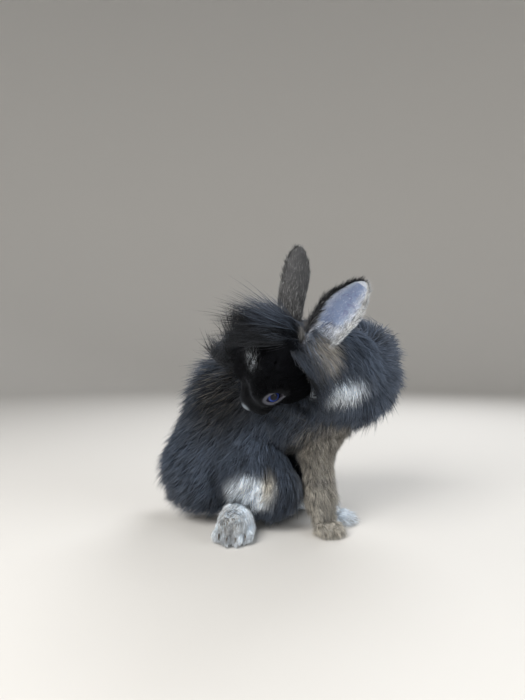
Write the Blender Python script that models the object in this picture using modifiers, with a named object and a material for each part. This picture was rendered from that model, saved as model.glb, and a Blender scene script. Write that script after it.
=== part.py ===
"""A young lionhead rabbit, life size, sitting and turned round to groom its right flank.

Every place is in metres in one posing frame: +X towards the chest, -Y towards the side
that the head is turned to, +Z up, with the floor at zero. The last step moves the whole
animal so that its box stands centred over the origin.
"""

import math
import random

import bmesh
import bpy
from mathutils import Matrix, Vector
from mathutils.bvhtree import BVHTree

# Gaps, the floor and the seed of every draw
GAP = 0.00035
LOCK_GAP = 0.0009
CLEARANCE = 0.0008
SEED = 5

# Trunk, neck and tail as stations of x, y, z and radius, out to the firm inner coat
TRUNK = (
    (-0.060, 0.042, 0.050, 0.041),
    (-0.034, 0.043, 0.095, 0.043),
    (0.012, 0.038, 0.110, 0.045),
    (0.060, 0.029, 0.128, 0.041),
)
NECK = (
    (0.052, 0.012, 0.130, 0.032),
    (0.034, -0.012, 0.138, 0.030),
    (0.019, -0.030, 0.145, 0.025),
)
TAIL = (
    (-0.080, 0.066, 0.038, 0.010),
    (-0.089, 0.076, 0.037, 0.012),
    (-0.094, 0.084, 0.042, 0.009),
)

# Forelegs as stations, then each paw's wrist and the way that it points
FORELEG = {
    "right": (
        (0.043, 0.022, 0.092, 0.018),
        (0.030, 0.020, 0.064, 0.0145),
        (0.032, 0.012, 0.030, 0.0115),
    ),
    "left": (
        (0.042, 0.042, 0.085, 0.017),
        (0.035, 0.042, 0.058, 0.0125),
        (0.037, 0.036, 0.026, 0.0100),
    ),
}
FOREPAW = {
    "right": (Vector((0.0345, 0.008, 0.009)), Vector((0.30, -0.95, 0.0))),
    "left": (Vector((0.0425, 0.034, 0.009)), Vector((0.95, -0.31, 0.0))),
}
FOREPAW_LENGTH, FOREPAW_RADIUS = 0.016, 0.0090

# Hind feet, each a heel and the way that it points, and the thighs over them: the middle and
# radii of the muscle, then the middle and radius of the knee
HINDFOOT = {
    "right": (Vector((-0.034, 0.030, 0.012)), Vector((-0.07, -1.0, 0.0))),
    "left": (Vector((-0.026, 0.082, 0.012)), Vector((1.0, -0.10, 0.0))),
}
HINDFOOT_LENGTH, HINDFOOT_RADIUS = 0.058, 0.0130
SOLE = ((0.0, 0.8), (0.6, 1.0), (0.86, 0.92))
THIGH = {
    "right": ((-0.024, 0.018, 0.054), (0.031, 0.030, 0.033), (-0.006, 0.012, 0.036), 0.024),
    "left": ((-0.018, 0.068, 0.054), (0.034, 0.026, 0.034), (0.008, 0.072, 0.038), 0.024),
}

# Toes of a paw and of a hind foot: spread, height of the middle and radius. Each toe starts at
# a share of the foot's length, and the outer ones end a share of it earlier than the middle ones
TOES = 4
FORE_TOES = (0.0066, 0.0048, 0.0042)
HIND_TOES = (0.0100, 0.0068, 0.0058)
TOE_START, TOE_ROOT_SPREAD, TOE_CURVE, KNUCKLE = 0.55, 0.8, 0.13, 1.2
CLAW_LENGTH, CLAW_RADIUS, CLAW_SUNK, CLAW_TOP, CLAW_DROP = 0.0075, 0.0011, 0.35, 0.0012, 0.0028
STANDING = ("hindfoot_left", "hindfoot_right", "foreleg_left", "foreleg_right")

# Head: the nose tip, then the axes along the nose line, to the animal's left, and up
NOSE = Vector((-0.030, -0.022, 0.104))
FORWARD = Vector((-0.585, 0.310, -0.749)).normalized()
LEFTWARD = Vector((0.519, -0.573, -0.642))
LEFTWARD = (LEFTWARD - FORWARD * LEFTWARD.dot(FORWARD)).normalized()
UPWARD = FORWARD.cross(LEFTWARD)

# Head forms, each a place back, left and up from the nose tip with three radii
SKULL = ((0.049, 0.0, 0.000), (0.031, 0.0275, 0.0275))
MUZZLE = ((0.022, 0.0, -0.004), (0.022, 0.0150, 0.0155))
NOSE_PAD = ((0.0060, 0.0, -0.0015), (0.0058, 0.0062, 0.0048))
CHIN = ((0.0165, 0.0, -0.0165), (0.0080, 0.0066, 0.0066))
LIP_PAD = ((0.0110, 0.0062, -0.0085), (0.0090, 0.0082, 0.0078))
CHEEK = ((0.041, 0.0120, -0.0130), (0.020, 0.0125, 0.0140))
BROW = ((0.0320, 0.0110, 0.0110), (0.0135, 0.0090, 0.0080))
ORBIT = ((0.0285, 0.0090, 0.0020), (0.0155, 0.0125, 0.0135))
EYE_BACK, EYE_SIDE, EYE_UP, EYE_RADIUS = 0.0265, 0.0128, 0.0030, 0.0085
EYE_OUT = (1.0, -0.38, 0.50)
SLIT_WAY = (0.83, 0.56)
LID_WALL, LID_LONG, LID_TALL, SLIT_REACH = 0.0012, 0.0076, 0.0040, 1.2
NOSTRIL, NOSTRIL_RADII, NOSTRIL_LEAN = (0.0012, 0.0028, -0.0008), (0.0018, 0.0016, 0.0008), 0.5
MOUTH_LINE = ((0.024, 0.0125, -0.0135), (0.014, 0.0090, -0.0150), (0.0085, 0.0, -0.0150))
CLEFT_LINE = ((0.0015, 0.0, -0.0050), (0.0045, 0.0, -0.0110), (0.0085, 0.0, -0.0150))
LINE_RADIUS = 0.0006

# Ears: the base on the head, the way that each one points, and the way its cup faces
EAR_PLACE = {"right": (0.069, -0.0106, -0.0017), "left": (0.072, 0.0134, 0.0027)}
EAR_LENGTH, EAR_SUNK, EAR_HALF_WIDTH, EAR_WALL = 0.064, 0.009, 0.0172, 0.0018
EAR_POINTS = {"right": Vector((0.09, -0.10, 0.99)), "left": Vector((0.585, -0.377, 0.710))}
EAR_FACES = {"right": Vector((-0.66, 0.74, 0.10)), "left": Vector((0.22, -0.93, -0.28))}
EAR_ROOT_CURL, EAR_TIP_CURL = 2.3, 0.62
EAR_ROOT_GIRTH, EAR_CLOSES, EAR_ROUNDNESS, EAR_TIP = 0.76, 0.52, 2.0, 0.08
EAR_CUP_BACK, EAR_ROWS, EAR_COLUMNS = 0.3, 12, 8

# Core of each node: the size of the cells that melt its forms together, the rounds of smoothing,
# and about how many triangles it keeps
CORES = {
    "head": (0.0012, 8, 960),
    "foreleg": (0.0010, 3, 470),
    "hindfoot": (0.0012, 3, 470),
    "thigh": (0.0020, 3, 300),
    "neck": (0.0020, 4, 250),
    "tail": (0.0020, 4, 140),
    "torso": (0.0020, 4, 600),
}

# Coat: the currents that it follows, each a middle, a reach and a way, over the trunk's own
REARWARD = Vector((-0.78, 0.0, -0.62))
NECK_CURRENT = (Vector((0.030, -0.018, 0.141)), 0.034, Vector((0.75, 0.50, -0.35)))
THIGH_CURRENT = (Vector((-0.016, -0.002, 0.046)), 0.034, Vector((-0.20, -0.05, -0.98)))
FAN_MIDDLE, FAN_REACH = Vector((0.080, 0.022, 0.128)), 0.046
FAN_CENTRE, FAN_FALL = Vector((0.046, -0.028, 0.126)), Vector((0.0, 0.0, -0.35))
HEAD_WHORL, HEAD_FALL = (0.020, 0.0, 0.0), Vector((0.0, 0.0, -0.45))

# Locks in each region: how far apart, their length, half width and the lift of their tips
LOCKS = {
    "torso": (0.0232, 0.036, 0.0122, 0.0112),
    "thigh": (0.0190, 0.028, 0.0102, 0.0100),
    "neck": (0.0185, 0.036, 0.0112, 0.0120),
    "head": (0.0155, 0.028, 0.0070, 0.0090),
    "tail": (0.0135, 0.019, 0.0066, 0.0080),
}
MANE_FROM = 0.054
CREASE = 0.3
TRIES = 40

# What all locks share: their draws of size, girth and swing, then places along them with the
# rise, width and depth there, and how clear of other nodes and of the floor their roots are
ROOT_SUNK, LOCK_SIZES, LOCK_GIRTHS, SWING = 0.0050, (0.85, 1.2), (0.85, 1.15), 0.4
LOCK_SHARES, LOCK_RISES = (0.0, 0.34, 0.70, 1.0), (0.26, 0.66, 1.0)
LOCK_WIDTHS, LOCK_DEPTHS = (0.70, 1.0, 0.74), (0.36, 0.38, 0.30)
LOWEST_ROOT, ROOT_TEST, ROOT_CLEAR = 0.006, 0.002, 0.004

# Forelock: a fan of wisps between the ears, each rising off the head at shares of its length
FORELOCKS, FORELOCK_LENGTH, FORELOCK_HALF_WIDTH = 12, 0.034, 0.0055
FORELOCK_LENGTHS, FORELOCK_DROOP, FORELOCK_TILT = (0.8, 1.15), 0.004, (-0.10, 0.34)
FORELOCK_WAY = Vector((-0.87, 0.06, 0.48))
FORELOCK_ROOT, FORELOCK_STAGGER, FORELOCK_SPREAD, FORELOCK_ABOVE = 0.060, 0.009, 0.014, 0.03
FORELOCK_STEPS = ((0.28, 0.005, 0.0), (0.64, 0.007, 0.25), (1.0, 0.006, 1.0))

BLACK = (0.012, 0.012, 0.015)
CHARCOAL = (0.055, 0.06, 0.075)
TICKED = (0.33, 0.26, 0.18)
CREAM = (0.72, 0.68, 0.58)
EYE_BLUE = (0.10, 0.14, 0.32)
ROSE = (0.55, 0.42, 0.45)
EYE_GLOSS, COAT_ROUGHNESS = 0.08, 0.9


def new_collection(name):
    """A collection of the scene for objects of one kind."""
    made = bpy.data.collections.new(name)
    bpy.context.scene.collection.children.link(made)
    return made


for leftover in list(bpy.data.objects):
    bpy.data.objects.remove(leftover)
ANIMAL = new_collection("lionhead_rabbit")
CUTTERS = new_collection("cutters")


def finish(obj, colour, roughness):
    """Gives a node its own material of one colour."""
    made = bpy.data.materials.new(obj.name)
    made.use_nodes = True
    shader = made.node_tree.nodes["Principled BSDF"]
    shader.inputs["Base Color"].default_value = (*colour, 1.0)
    shader.inputs["Roughness"].default_value = roughness
    shader.inputs["Metallic"].default_value = 0.0
    obj.data.materials.clear()
    obj.data.materials.append(made)


def object_from(name, shape, collection):
    """Turns the shape gathered in a bmesh into an object."""
    mesh = bpy.data.meshes.new(name)
    shape.to_mesh(mesh)
    shape.free()
    obj = bpy.data.objects.new(name, mesh)
    collection.objects.link(obj)
    return obj


def tool_from(shape, name="tool"):
    """An object that only cuts or joins others, so it is never rendered."""
    obj = object_from(name, shape, CUTTERS)
    obj.hide_render = True
    obj.display_type = "WIRE"
    return obj


def bake_modifiers(obj):
    """Replaces an object's mesh by the one that its modifiers make."""
    graph = bpy.context.evaluated_depsgraph_get()
    made = bpy.data.meshes.new_from_object(obj.evaluated_get(graph))
    obj.modifiers.clear()
    obj.data = made


def add_ball(shape, centre, radii, turn=None, detail=3):
    """Adds an ellipsoid to a shape that is being gathered."""
    turn = turn or Matrix.Identity(4)
    placed = Matrix.Translation(centre) @ turn @ Matrix.Diagonal((*radii, 1.0))
    bmesh.ops.create_icosphere(shape, subdivisions=detail, radius=1.0, matrix=placed)


def add_limb(shape, stations, balls=5):
    """Adds a bent, tapering limb as overlapping balls between its stations."""
    for here, there in zip(stations, stations[1:]):
        for step in range(balls + 1):
            x, y, z, radius = [a + (b - a) * step / balls for a, b in zip(here, there)]
            add_ball(shape, (x, y, z), (radius, radius, radius))


def blended(name, shape, kind):
    """Melts overlapping closed shapes into one soft closed mesh, as fine as its kind of core is."""
    voxel, smoothing, triangles = CORES[kind]
    obj = object_from(name, shape, ANIMAL)
    melt = obj.modifiers.new("melt", "REMESH")
    melt.mode = "VOXEL"
    melt.voxel_size = voxel
    soften = obj.modifiers.new("soften", "SMOOTH")
    soften.iterations = smoothing
    bake_modifiers(obj)
    obj.data.calc_loop_triangles()
    thin = obj.modifiers.new("thin", "DECIMATE")
    thin.ratio = triangles / len(obj.data.loop_triangles)
    bake_modifiers(obj)
    return obj


def grown(obj, by):
    """A cutter: a copy of an object with its surface moved out by a gap."""
    shape = bmesh.new()
    shape.from_mesh(obj.data)
    bmesh.ops.triangulate(shape, faces=shape.faces)
    shape.normal_update()
    for vertex in shape.verts:
        vertex.co += vertex.normal * by
    return tool_from(shape)


def volume_of(faces):
    """The signed volume inside a closed set of faces."""
    total = 0.0
    for face in faces:
        first, *rest = [vertex.co for vertex in face.verts]
        for second, third in zip(rest, rest[1:]):
            total += first.dot(second.cross(third)) / 6.0
    return total


def keep_largest(obj):
    """Keeps only the closed surface that holds the most, and drops sealed hollows and scraps."""
    shape = bmesh.new()
    shape.from_mesh(obj.data)
    bmesh.ops.triangulate(shape, faces=shape.faces)
    seen = set()
    shells = []
    for start in shape.faces:
        if start in seen:
            continue
        seen.add(start)
        shell, edge = [start], [start]
        while edge:
            for side in edge.pop().edges:
                found = [other for other in side.link_faces if other not in seen]
                seen.update(found)
                shell += found
                edge += found
        shells.append(shell)
    shells.sort(key=volume_of)
    bmesh.ops.delete(shape, geom=[f for shell in shells[:-1] for f in shell], context="FACES")
    loose = [vertex for vertex in shape.verts if not vertex.link_faces]
    bmesh.ops.delete(shape, geom=loose, context="VERTS")
    shape.to_mesh(obj.data)
    shape.free()


def combine(obj, operation, tools):
    """Joins or cuts an object with a set of closed meshes in one step, then removes them."""
    if not tools:
        return
    together = new_collection("together")
    for tool in tools:
        together.objects.link(tool)
    step = obj.modifiers.new("step", "BOOLEAN")
    step.operation = operation
    step.operand_type = "COLLECTION"
    step.collection = together
    step.solver = "MANIFOLD"
    bake_modifiers(obj)
    for tool in tools:
        bpy.data.objects.remove(tool)
    bpy.data.collections.remove(together)
    keep_largest(obj)


def slab_below(height):
    """A cutter that takes away all that lies under a height."""
    depth, reach = 0.1, 1.0
    shape = bmesh.new()
    placed = Matrix.Translation((0, 0, height - depth / 2)) @ Matrix.Diagonal((reach, reach, depth, 1.0))
    bmesh.ops.create_cube(shape, size=1.0, matrix=placed)
    return tool_from(shape)


def tree_of(objects):
    """A search tree over the faces of several objects."""
    points, faces = [], []
    for obj in objects:
        first = len(points)
        points += [vertex.co.copy() for vertex in obj.data.vertices]
        faces += [[first + i for i in face.vertices] for face in obj.data.polygons]
    return BVHTree.FromPolygons(points, faces)


def on_head(back, left, up):
    """A place on the head, back from the nose tip, to its left and up."""
    return NOSE - FORWARD * back + LEFTWARD * left + UPWARD * up


HEAD_TURN = Matrix((-FORWARD, LEFTWARD, UPWARD)).transposed().to_4x4()


def mirrored(place):
    """A place on the head and its twin on the other side."""
    back, left, up = place
    return ((back, left, up), (back, -left, up))


def eye_place(side):
    """The middle of an eyeball; side is 1 for the left and -1 for the right."""
    return on_head(EYE_BACK, EYE_SIDE * side, EYE_UP)


def eye_turn(side):
    """Axes of an eye: along the slit of the lids, across it, and out."""
    sideways, ahead, above = EYE_OUT
    out = (LEFTWARD * side * sideways + FORWARD * ahead + UPWARD * above).normalized()
    along = FORWARD * SLIT_WAY[0] + UPWARD * SLIT_WAY[1]
    along = (along - out * along.dot(out)).normalized()
    return Matrix((along, out.cross(along), out)).transposed().to_4x4()


def eye(name, side):
    """An eyeball."""
    shape = bmesh.new()
    add_ball(shape, eye_place(side), (EYE_RADIUS,) * 3)
    finish(object_from(name, shape, ANIMAL), EYE_BLUE, EYE_GLOSS)


def surface_line(tree, places, radius):
    """A cutter along a line of places laid on a surface, for the mouth and the cleft lip."""
    pieces = 4
    curve = bpy.data.curves.new("line", "CURVE")
    curve.dimensions = "3D"
    curve.bevel_depth = radius
    curve.bevel_resolution = 0
    curve.use_fill_caps = True
    route = [
        a.lerp(b, step / pieces)
        for a, b in zip(places, places[1:])
        for step in range(pieces)
    ] + [places[-1]]
    spline = curve.splines.new("POLY")
    spline.points.add(len(route) - 1)
    for point, place in zip(spline.points, route):
        point.co = (*tree.find_nearest(place)[0], 1.0)
    holder = bpy.data.objects.new("line", curve)
    CUTTERS.objects.link(holder)
    graph = bpy.context.evaluated_depsgraph_get()
    mesh = bpy.data.meshes.new_from_object(holder.evaluated_get(graph))
    bpy.data.objects.remove(holder)
    shape = bmesh.new()
    shape.from_mesh(mesh)
    bmesh.ops.remove_doubles(shape, verts=shape.verts, dist=1e-6)
    bmesh.ops.recalc_face_normals(shape, faces=shape.faces)
    return tool_from(shape)


def head_core():
    """The head without its hair: skull, cheeks, muzzle, lips, nose, lids and sockets."""
    shape = bmesh.new()
    for place, radii in (SKULL, MUZZLE, NOSE_PAD, CHIN):
        add_ball(shape, on_head(*place), radii, HEAD_TURN)
    for middle, radii in (LIP_PAD, CHEEK, BROW, ORBIT):
        for place in mirrored(middle):
            add_ball(shape, on_head(*place), radii, HEAD_TURN)
    obj = blended("head", shape, "head")
    lids, openings = [], []
    for side in (-1, 1):
        lid = bmesh.new()
        add_ball(lid, eye_place(side), (EYE_RADIUS + LID_WALL,) * 3)
        lids.append(tool_from(lid))
        opening = bmesh.new()
        placed = (
            Matrix.Translation(eye_place(side))
            @ eye_turn(side)
            @ Matrix.Translation((0, 0, EYE_RADIUS * SLIT_REACH))
            @ Matrix.Diagonal((LID_LONG, LID_TALL, EYE_RADIUS * 2, 1.0))
        )
        around = {"segments": 20, "radius1": 1.0, "radius2": 1.0, "depth": 1.0}
        bmesh.ops.create_cone(opening, cap_ends=True, matrix=placed, **around)
        openings.append(tool_from(opening))
        socket = bmesh.new()
        add_ball(socket, eye_place(side), (EYE_RADIUS + GAP,) * 3)
        openings.append(tool_from(socket))
        nostril = bmesh.new()
        back, left, up = NOSTRIL
        lean = HEAD_TURN @ Matrix.Rotation(NOSTRIL_LEAN * side, 4, "X")
        add_ball(nostril, on_head(back, left * side, up), NOSTRIL_RADII, lean, detail=2)
        openings.append(tool_from(nostril))
    tree = tree_of([obj])
    right = [on_head(back, -left, up) for back, left, up in MOUTH_LINE]
    left = [on_head(*place) for place in MOUTH_LINE]
    openings.append(surface_line(tree, left + right[-2::-1], LINE_RADIUS))
    openings.append(surface_line(tree, [on_head(*place) for place in CLEFT_LINE], LINE_RADIUS))
    combine(obj, "UNION", lids)
    for opening in openings:
        combine(obj, "DIFFERENCE", [opening])
    return obj


def ear(name, side):
    """A leaf curled into a cup: nearly a tube at its root, open and pointed at its tip."""
    along = EAR_POINTS[side].normalized()
    facing = EAR_FACES[side]
    facing = (facing - along * facing.dot(along)).normalized()
    across = along.cross(facing)
    base = on_head(*EAR_PLACE[side])
    shape = bmesh.new()
    grid = []
    for row in range(EAR_ROWS + 1):
        up = row / EAR_ROWS
        girth = EAR_HALF_WIDTH * (EAR_ROOT_GIRTH + (1 - EAR_ROOT_GIRTH) * math.sin(math.pi * up))
        closing = max(0.0, (up - EAR_CLOSES) / (1 - EAR_CLOSES)) ** EAR_ROUNDNESS
        girth *= EAR_TIP + (1 - EAR_TIP) * math.sqrt(max(0.0, 1.0 - closing))
        curl = EAR_ROOT_CURL + (EAR_TIP_CURL - EAR_ROOT_CURL) * min(1.0, up * 1.5) ** 0.8
        height = up * (EAR_LENGTH + EAR_SUNK) - EAR_SUNK
        line = []
        for column in range(EAR_COLUMNS + 1):
            angle = curl * (2 * column / EAR_COLUMNS - 1)
            sideways = math.sin(angle) / curl * girth
            forward = ((1 - math.cos(angle)) / curl - EAR_CUP_BACK) * girth
            place = base + along * height + across * sideways + facing * forward
            line.append(shape.verts.new(place))
        grid.append(line)
    for low, high in zip(grid, grid[1:]):
        for column in range(EAR_COLUMNS):
            shape.faces.new((low[column], low[column + 1], high[column + 1]))
            shape.faces.new((low[column], high[column + 1], high[column]))
    obj = object_from(name, shape, ANIMAL)
    wall = obj.modifiers.new("wall", "SOLIDIFY")
    wall.thickness = EAR_WALL
    wall.offset = 0.0
    bake_modifiers(obj)
    turn_outward(obj)
    return obj


def turn_outward(obj):
    """Turns a closed mesh's faces outwards."""
    shape = bmesh.new()
    shape.from_mesh(obj.data)
    bmesh.ops.recalc_face_normals(shape, faces=shape.faces)
    shape.to_mesh(obj.data)
    shape.free()


def add_toes(shape, tips, radius):
    """Adds toes as limbs from a shared knuckle line to their tips."""
    for start, tip in tips:
        add_limb(shape, ((*start, radius * KNUCKLE), (*tip, radius)), balls=4)


def toe_tips(base, way, length, toes):
    """Where a foot's toes start and end: side by side, with the middle ones longest."""
    spread, height, _ = toes
    across = way.cross(Vector((0, 0, 1))).normalized()
    tips = []
    for toe in range(TOES):
        share = 2 * toe / (TOES - 1) - 1
        start = base + way * length * TOE_START + across * share * spread * TOE_ROOT_SPREAD
        tip = base + way * length * (1 - TOE_CURVE * share * share) + across * share * spread
        start.z = height * KNUCKLE
        tip.z = height
        tips.append((start, tip))
    return tips


def claw(tip, way):
    """A short hooked claw that sinks into its toe."""
    sides, rings, narrowing, tallness = 4, 2, 0.55, 1.3
    upright = Vector((0, 0, 1))
    across = way.cross(upright).normalized()

    def middle(share):
        height = CLAW_TOP - CLAW_DROP * share * share
        return tip + way * CLAW_LENGTH * (share - CLAW_SUNK) + upright * height

    shape = bmesh.new()
    rows = []
    for ring in range(rings):
        share = ring / rings
        radius = CLAW_RADIUS * (1 - narrowing * share)
        row = []
        for side in range(sides):
            angle = 2 * math.pi * side / sides
            place = middle(share) + across * math.cos(angle) * radius
            row.append(shape.verts.new(place + upright * math.sin(angle) * radius * tallness))
        rows.append(row)
    point = shape.verts.new(middle(1.0))
    shape.faces.new(rows[0])
    for low, high in zip(rows, rows[1:]):
        for side in range(sides):
            after = (side + 1) % sides
            shape.faces.new((low[side], low[after], high[after], high[side]))
    for side in range(sides):
        shape.faces.new((rows[-1][side], rows[-1][(side + 1) % sides], point))
    bmesh.ops.recalc_face_normals(shape, faces=shape.faces)
    return tool_from(shape)


def foreleg(name, side):
    """A foreleg from the shoulder to the claws, with its paw flat on the floor."""
    base, way = FOREPAW[side]
    way = way.normalized()
    shape = bmesh.new()
    add_limb(shape, (*FORELEG[side], (*base, FOREPAW_RADIUS)))
    tips = toe_tips(base, way, FOREPAW_LENGTH, FORE_TOES)
    radius = FORE_TOES[-1]
    add_toes(shape, tips, radius)
    obj = blended(name, shape, "foreleg")
    combine(obj, "UNION", [claw(tip + way * radius, way) for _, tip in tips])
    combine(obj, "DIFFERENCE", [slab_below(0.0)])
    return obj


def hindfoot(name, side):
    """A long hind foot from the heel to the claws, flat on the floor."""
    heel, way = HINDFOOT[side]
    way = way.normalized()
    shape = bmesh.new()
    toe = heel + way * HINDFOOT_LENGTH
    sole = [(*heel.lerp(toe, share), HINDFOOT_RADIUS * size) for share, size in SOLE]
    add_limb(shape, sole)
    tips = toe_tips(heel, way, HINDFOOT_LENGTH, HIND_TOES)
    radius = HIND_TOES[-1]
    add_toes(shape, tips, radius)
    obj = blended(name, shape, "hindfoot")
    combine(obj, "UNION", [claw(tip + way * radius, way) for _, tip in tips])
    combine(obj, "DIFFERENCE", [slab_below(0.0)])
    return obj


def thigh_core(name, side):
    """The great muscle of the hind leg, with the folded knee in front of it."""
    middle, radii, knee, knee_radius = THIGH[side]
    shape = bmesh.new()
    add_ball(shape, middle, radii)
    add_limb(shape, ((*middle, knee_radius), (*knee, knee_radius)))
    return blended(name, shape, "thigh")


def limb_core(name, stations):
    """A plain limb core, such as the trunk, the neck or the tail."""
    shape = bmesh.new()
    add_limb(shape, stations, balls=6)
    return blended(name, shape, name)


def lie_at(place):
    """The way that the coat lies: off the head, fanning over the chest, then rearward and down."""
    way = REARWARD.copy()
    for middle, reach, current in (NECK_CURRENT, THIGH_CURRENT):
        share = math.exp(-(((place - middle).length / reach) ** 2))
        way = way.lerp(current, share)
    share = math.exp(-(((place - FAN_MIDDLE).length / FAN_REACH) ** 2))
    return way.lerp((place - FAN_CENTRE).normalized() + FAN_FALL, share)


def lie_on_head(place):
    """The way that the hair of the head lies: back from the nose and down."""
    return (place - on_head(*HEAD_WHORL)).normalized() + HEAD_FALL


def lock_from(plan, grow=0.0):
    """A flat tapering lock along its plan's centres, lens-shaped across and ending in a point."""
    centres, frames, half_width = plan
    tip = centres[-1] + (centres[-1] - centres[-2]).normalized() * grow * 2
    shape = bmesh.new()
    rows = []
    for centre, (across, up), width, depth in zip(centres, frames, LOCK_WIDTHS, LOCK_DEPTHS):
        half, tall = half_width * width + grow, half_width * depth + grow
        row = [centre - across * half, centre - up * tall, centre + across * half, centre + up * tall]
        rows.append([shape.verts.new(corner) for corner in row])
    point = shape.verts.new(tip)
    shape.faces.new(rows[0])
    for low, high in zip(rows, rows[1:]):
        for side in range(4):
            after = (side + 1) % 4
            shape.faces.new((low[side], low[after], high[after], high[side]))
    for side in range(4):
        shape.faces.new((rows[-1][side], rows[-1][(side + 1) % 4], point))
    bmesh.ops.triangulate(shape, faces=shape.faces)
    bmesh.ops.recalc_face_normals(shape, faces=shape.faces)
    return tool_from(shape, "lock")


def lying_lock(root, normal, ground, lie, length, half_width, lift, draw):
    """Plans a lock that is sunk at its root, follows the coat and lifts towards its tip.

    There is no plan where the lock would fold over in a crease.
    """
    heights = (-ROOT_SUNK, *(rise * lift for rise in LOCK_RISES))
    swing = draw.uniform(-SWING, SWING)
    place = root
    centres, frames = [], []
    for index, height in enumerate(heights):
        way = lie(place)
        way = (way - normal * way.dot(normal)).normalized()
        way = Matrix.Rotation(swing * LOCK_SHARES[index], 3, normal) @ way
        centres.append(place + normal * height)
        frames.append((way.cross(normal).normalized(), normal))
        if index < len(heights) - 1:
            step = length * (LOCK_SHARES[index + 1] - LOCK_SHARES[index])
            place, found = ground.find_nearest(place + way * step)[:2]
            if found.dot(normal) < CREASE:
                return None
            normal = (normal + found * 2).normalized()
    return centres, frames, half_width


def forelock(tree, number, draw):
    """Plans a wisp of the forelock: rooted between the ears and swept out over the forehead."""
    share = 2 * number / (FORELOCKS - 1) - 1
    back = FORELOCK_ROOT + FORELOCK_STAGGER * (-1) ** number
    root, normal = tree.find_nearest(on_head(back, FORELOCK_SPREAD * share, FORELOCK_ABOVE))[:2]
    sideways, fan = FORELOCK_TILT
    way = (FORELOCK_WAY + Vector((0.0, sideways, fan * draw.uniform(-1, 1)))).normalized()
    across = way.cross(normal).normalized()
    length = FORELOCK_LENGTH * draw.uniform(*FORELOCK_LENGTHS)
    centres = [root - normal * ROOT_SUNK]
    for along, rise, drop in FORELOCK_STEPS:
        droop = Vector((0, 0, -FORELOCK_DROOP * drop))
        centres.append(root + normal * rise + way * length * along + droop)
    return centres, [(across, across.cross(way))] * 3, FORELOCK_HALF_WIDTH


def scattered(obj, apart, draw):
    """Places spread evenly over an object's surface, each with its normal."""
    mesh = obj.data
    mesh.calc_loop_triangles()
    areas = [triangle.area for triangle in mesh.loop_triangles]
    tries = int(sum(areas) / apart**2 * TRIES)
    kept = []
    for triangle in draw.choices(mesh.loop_triangles, areas, k=tries):
        a, b = sorted((draw.random(), draw.random()))
        corners = [mesh.vertices[i].co for i in triangle.vertices]
        place = corners[0] * a + corners[1] * (b - a) + corners[2] * (1 - b)
        if all((place - other).length > apart for other, _ in kept):
            kept.append((place, triangle.normal.copy()))
    return kept


def clear_of(tree, place, least):
    """Whether a place is outside the cores in a search tree by at least this much."""
    nearest, normal, _, distance = tree.find_nearest(place)
    return distance > least and (place - nearest).dot(normal) > 0


def back_from_nose(place):
    """How far back along the head a place is."""
    return (NOSE - place).dot(FORWARD)


def locks_for(name, region, cores, ground, draw):
    """Plans the locks of one node, on its own free surface."""
    apart, length, half_width, lift = LOCKS[region]
    others = tree_of([core for other, core in cores.items() if other != name])
    lie = lie_on_head if region == "head" else lie_at
    made = []
    for root, normal in scattered(cores[name], apart, draw):
        if root.z < LOWEST_ROOT or not clear_of(others, root + normal * ROOT_TEST, ROOT_CLEAR):
            continue
        if region == "head" and back_from_nose(root) < MANE_FROM:
            continue
        size = draw.uniform(*LOCK_SIZES)
        width = half_width * draw.uniform(*LOCK_GIRTHS)
        plan = lying_lock(root, normal, ground, lie, length * size, width, lift * size, draw)
        if plan:
            made.append(plan)
    return made


def build():
    """Makes every core, dresses the long-haired ones, and parts the nodes by thin gaps."""
    draw = random.Random(SEED)
    cores = {
        "head": head_core(),
        "ear_left": ear("ear_left", "left"),
        "ear_right": ear("ear_right", "right"),
        "hindfoot_left": hindfoot("hindfoot_left", "left"),
        "hindfoot_right": hindfoot("hindfoot_right", "right"),
        "foreleg_left": foreleg("foreleg_left", "left"),
        "foreleg_right": foreleg("foreleg_right", "right"),
        "thigh_left": thigh_core("thigh_left", "left"),
        "thigh_right": thigh_core("thigh_right", "right"),
        "neck": limb_core("neck", NECK),
        "tail": limb_core("tail", TAIL),
        "torso": limb_core("torso", TRUNK),
    }
    ground = tree_of(cores.values())
    regions = {
        "head": "head",
        "thigh_left": "thigh",
        "thigh_right": "thigh",
        "neck": "neck",
        "tail": "tail",
        "torso": "torso",
    }
    locks = {name: locks_for(name, region, cores, ground, draw) for name, region in regions.items()}
    head_tree = tree_of([cores["head"]])
    locks["head"] += [forelock(head_tree, number, draw) for number in range(FORELOCKS)]
    shells = {name: grown(core, GAP) for name, core in cores.items()}
    done = []
    for name, core in cores.items():
        combine(core, "UNION", [lock_from(plan) for plan in locks.get(name, [])])
        if name not in STANDING:
            combine(core, "DIFFERENCE", [slab_below(CLEARANCE)])
        for other in done:
            cutters = [lock_from(plan, LOCK_GAP) for plan in locks.get(other, [])]
            combine(core, "DIFFERENCE", [copy_of(shells[other]), *cutters])
        done.append(name)
    for shell in shells.values():
        bpy.data.objects.remove(shell)
    eye("eye_left", 1)
    eye("eye_right", -1)
    colours = {
        "head": BLACK,
        "ear_left": ROSE,
        "ear_right": TICKED,
        "hindfoot_left": CREAM,
        "hindfoot_right": CREAM,
        "foreleg_left": CREAM,
        "foreleg_right": TICKED,
    }
    for name, core in cores.items():
        finish(core, colours.get(name, CHARCOAL), COAT_ROUGHNESS)


def copy_of(tool):
    """Another cutter of the same shape."""
    made = bpy.data.objects.new("copy", tool.data)
    made.hide_render = True
    made.display_type = "WIRE"
    CUTTERS.objects.link(made)
    return made


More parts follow.
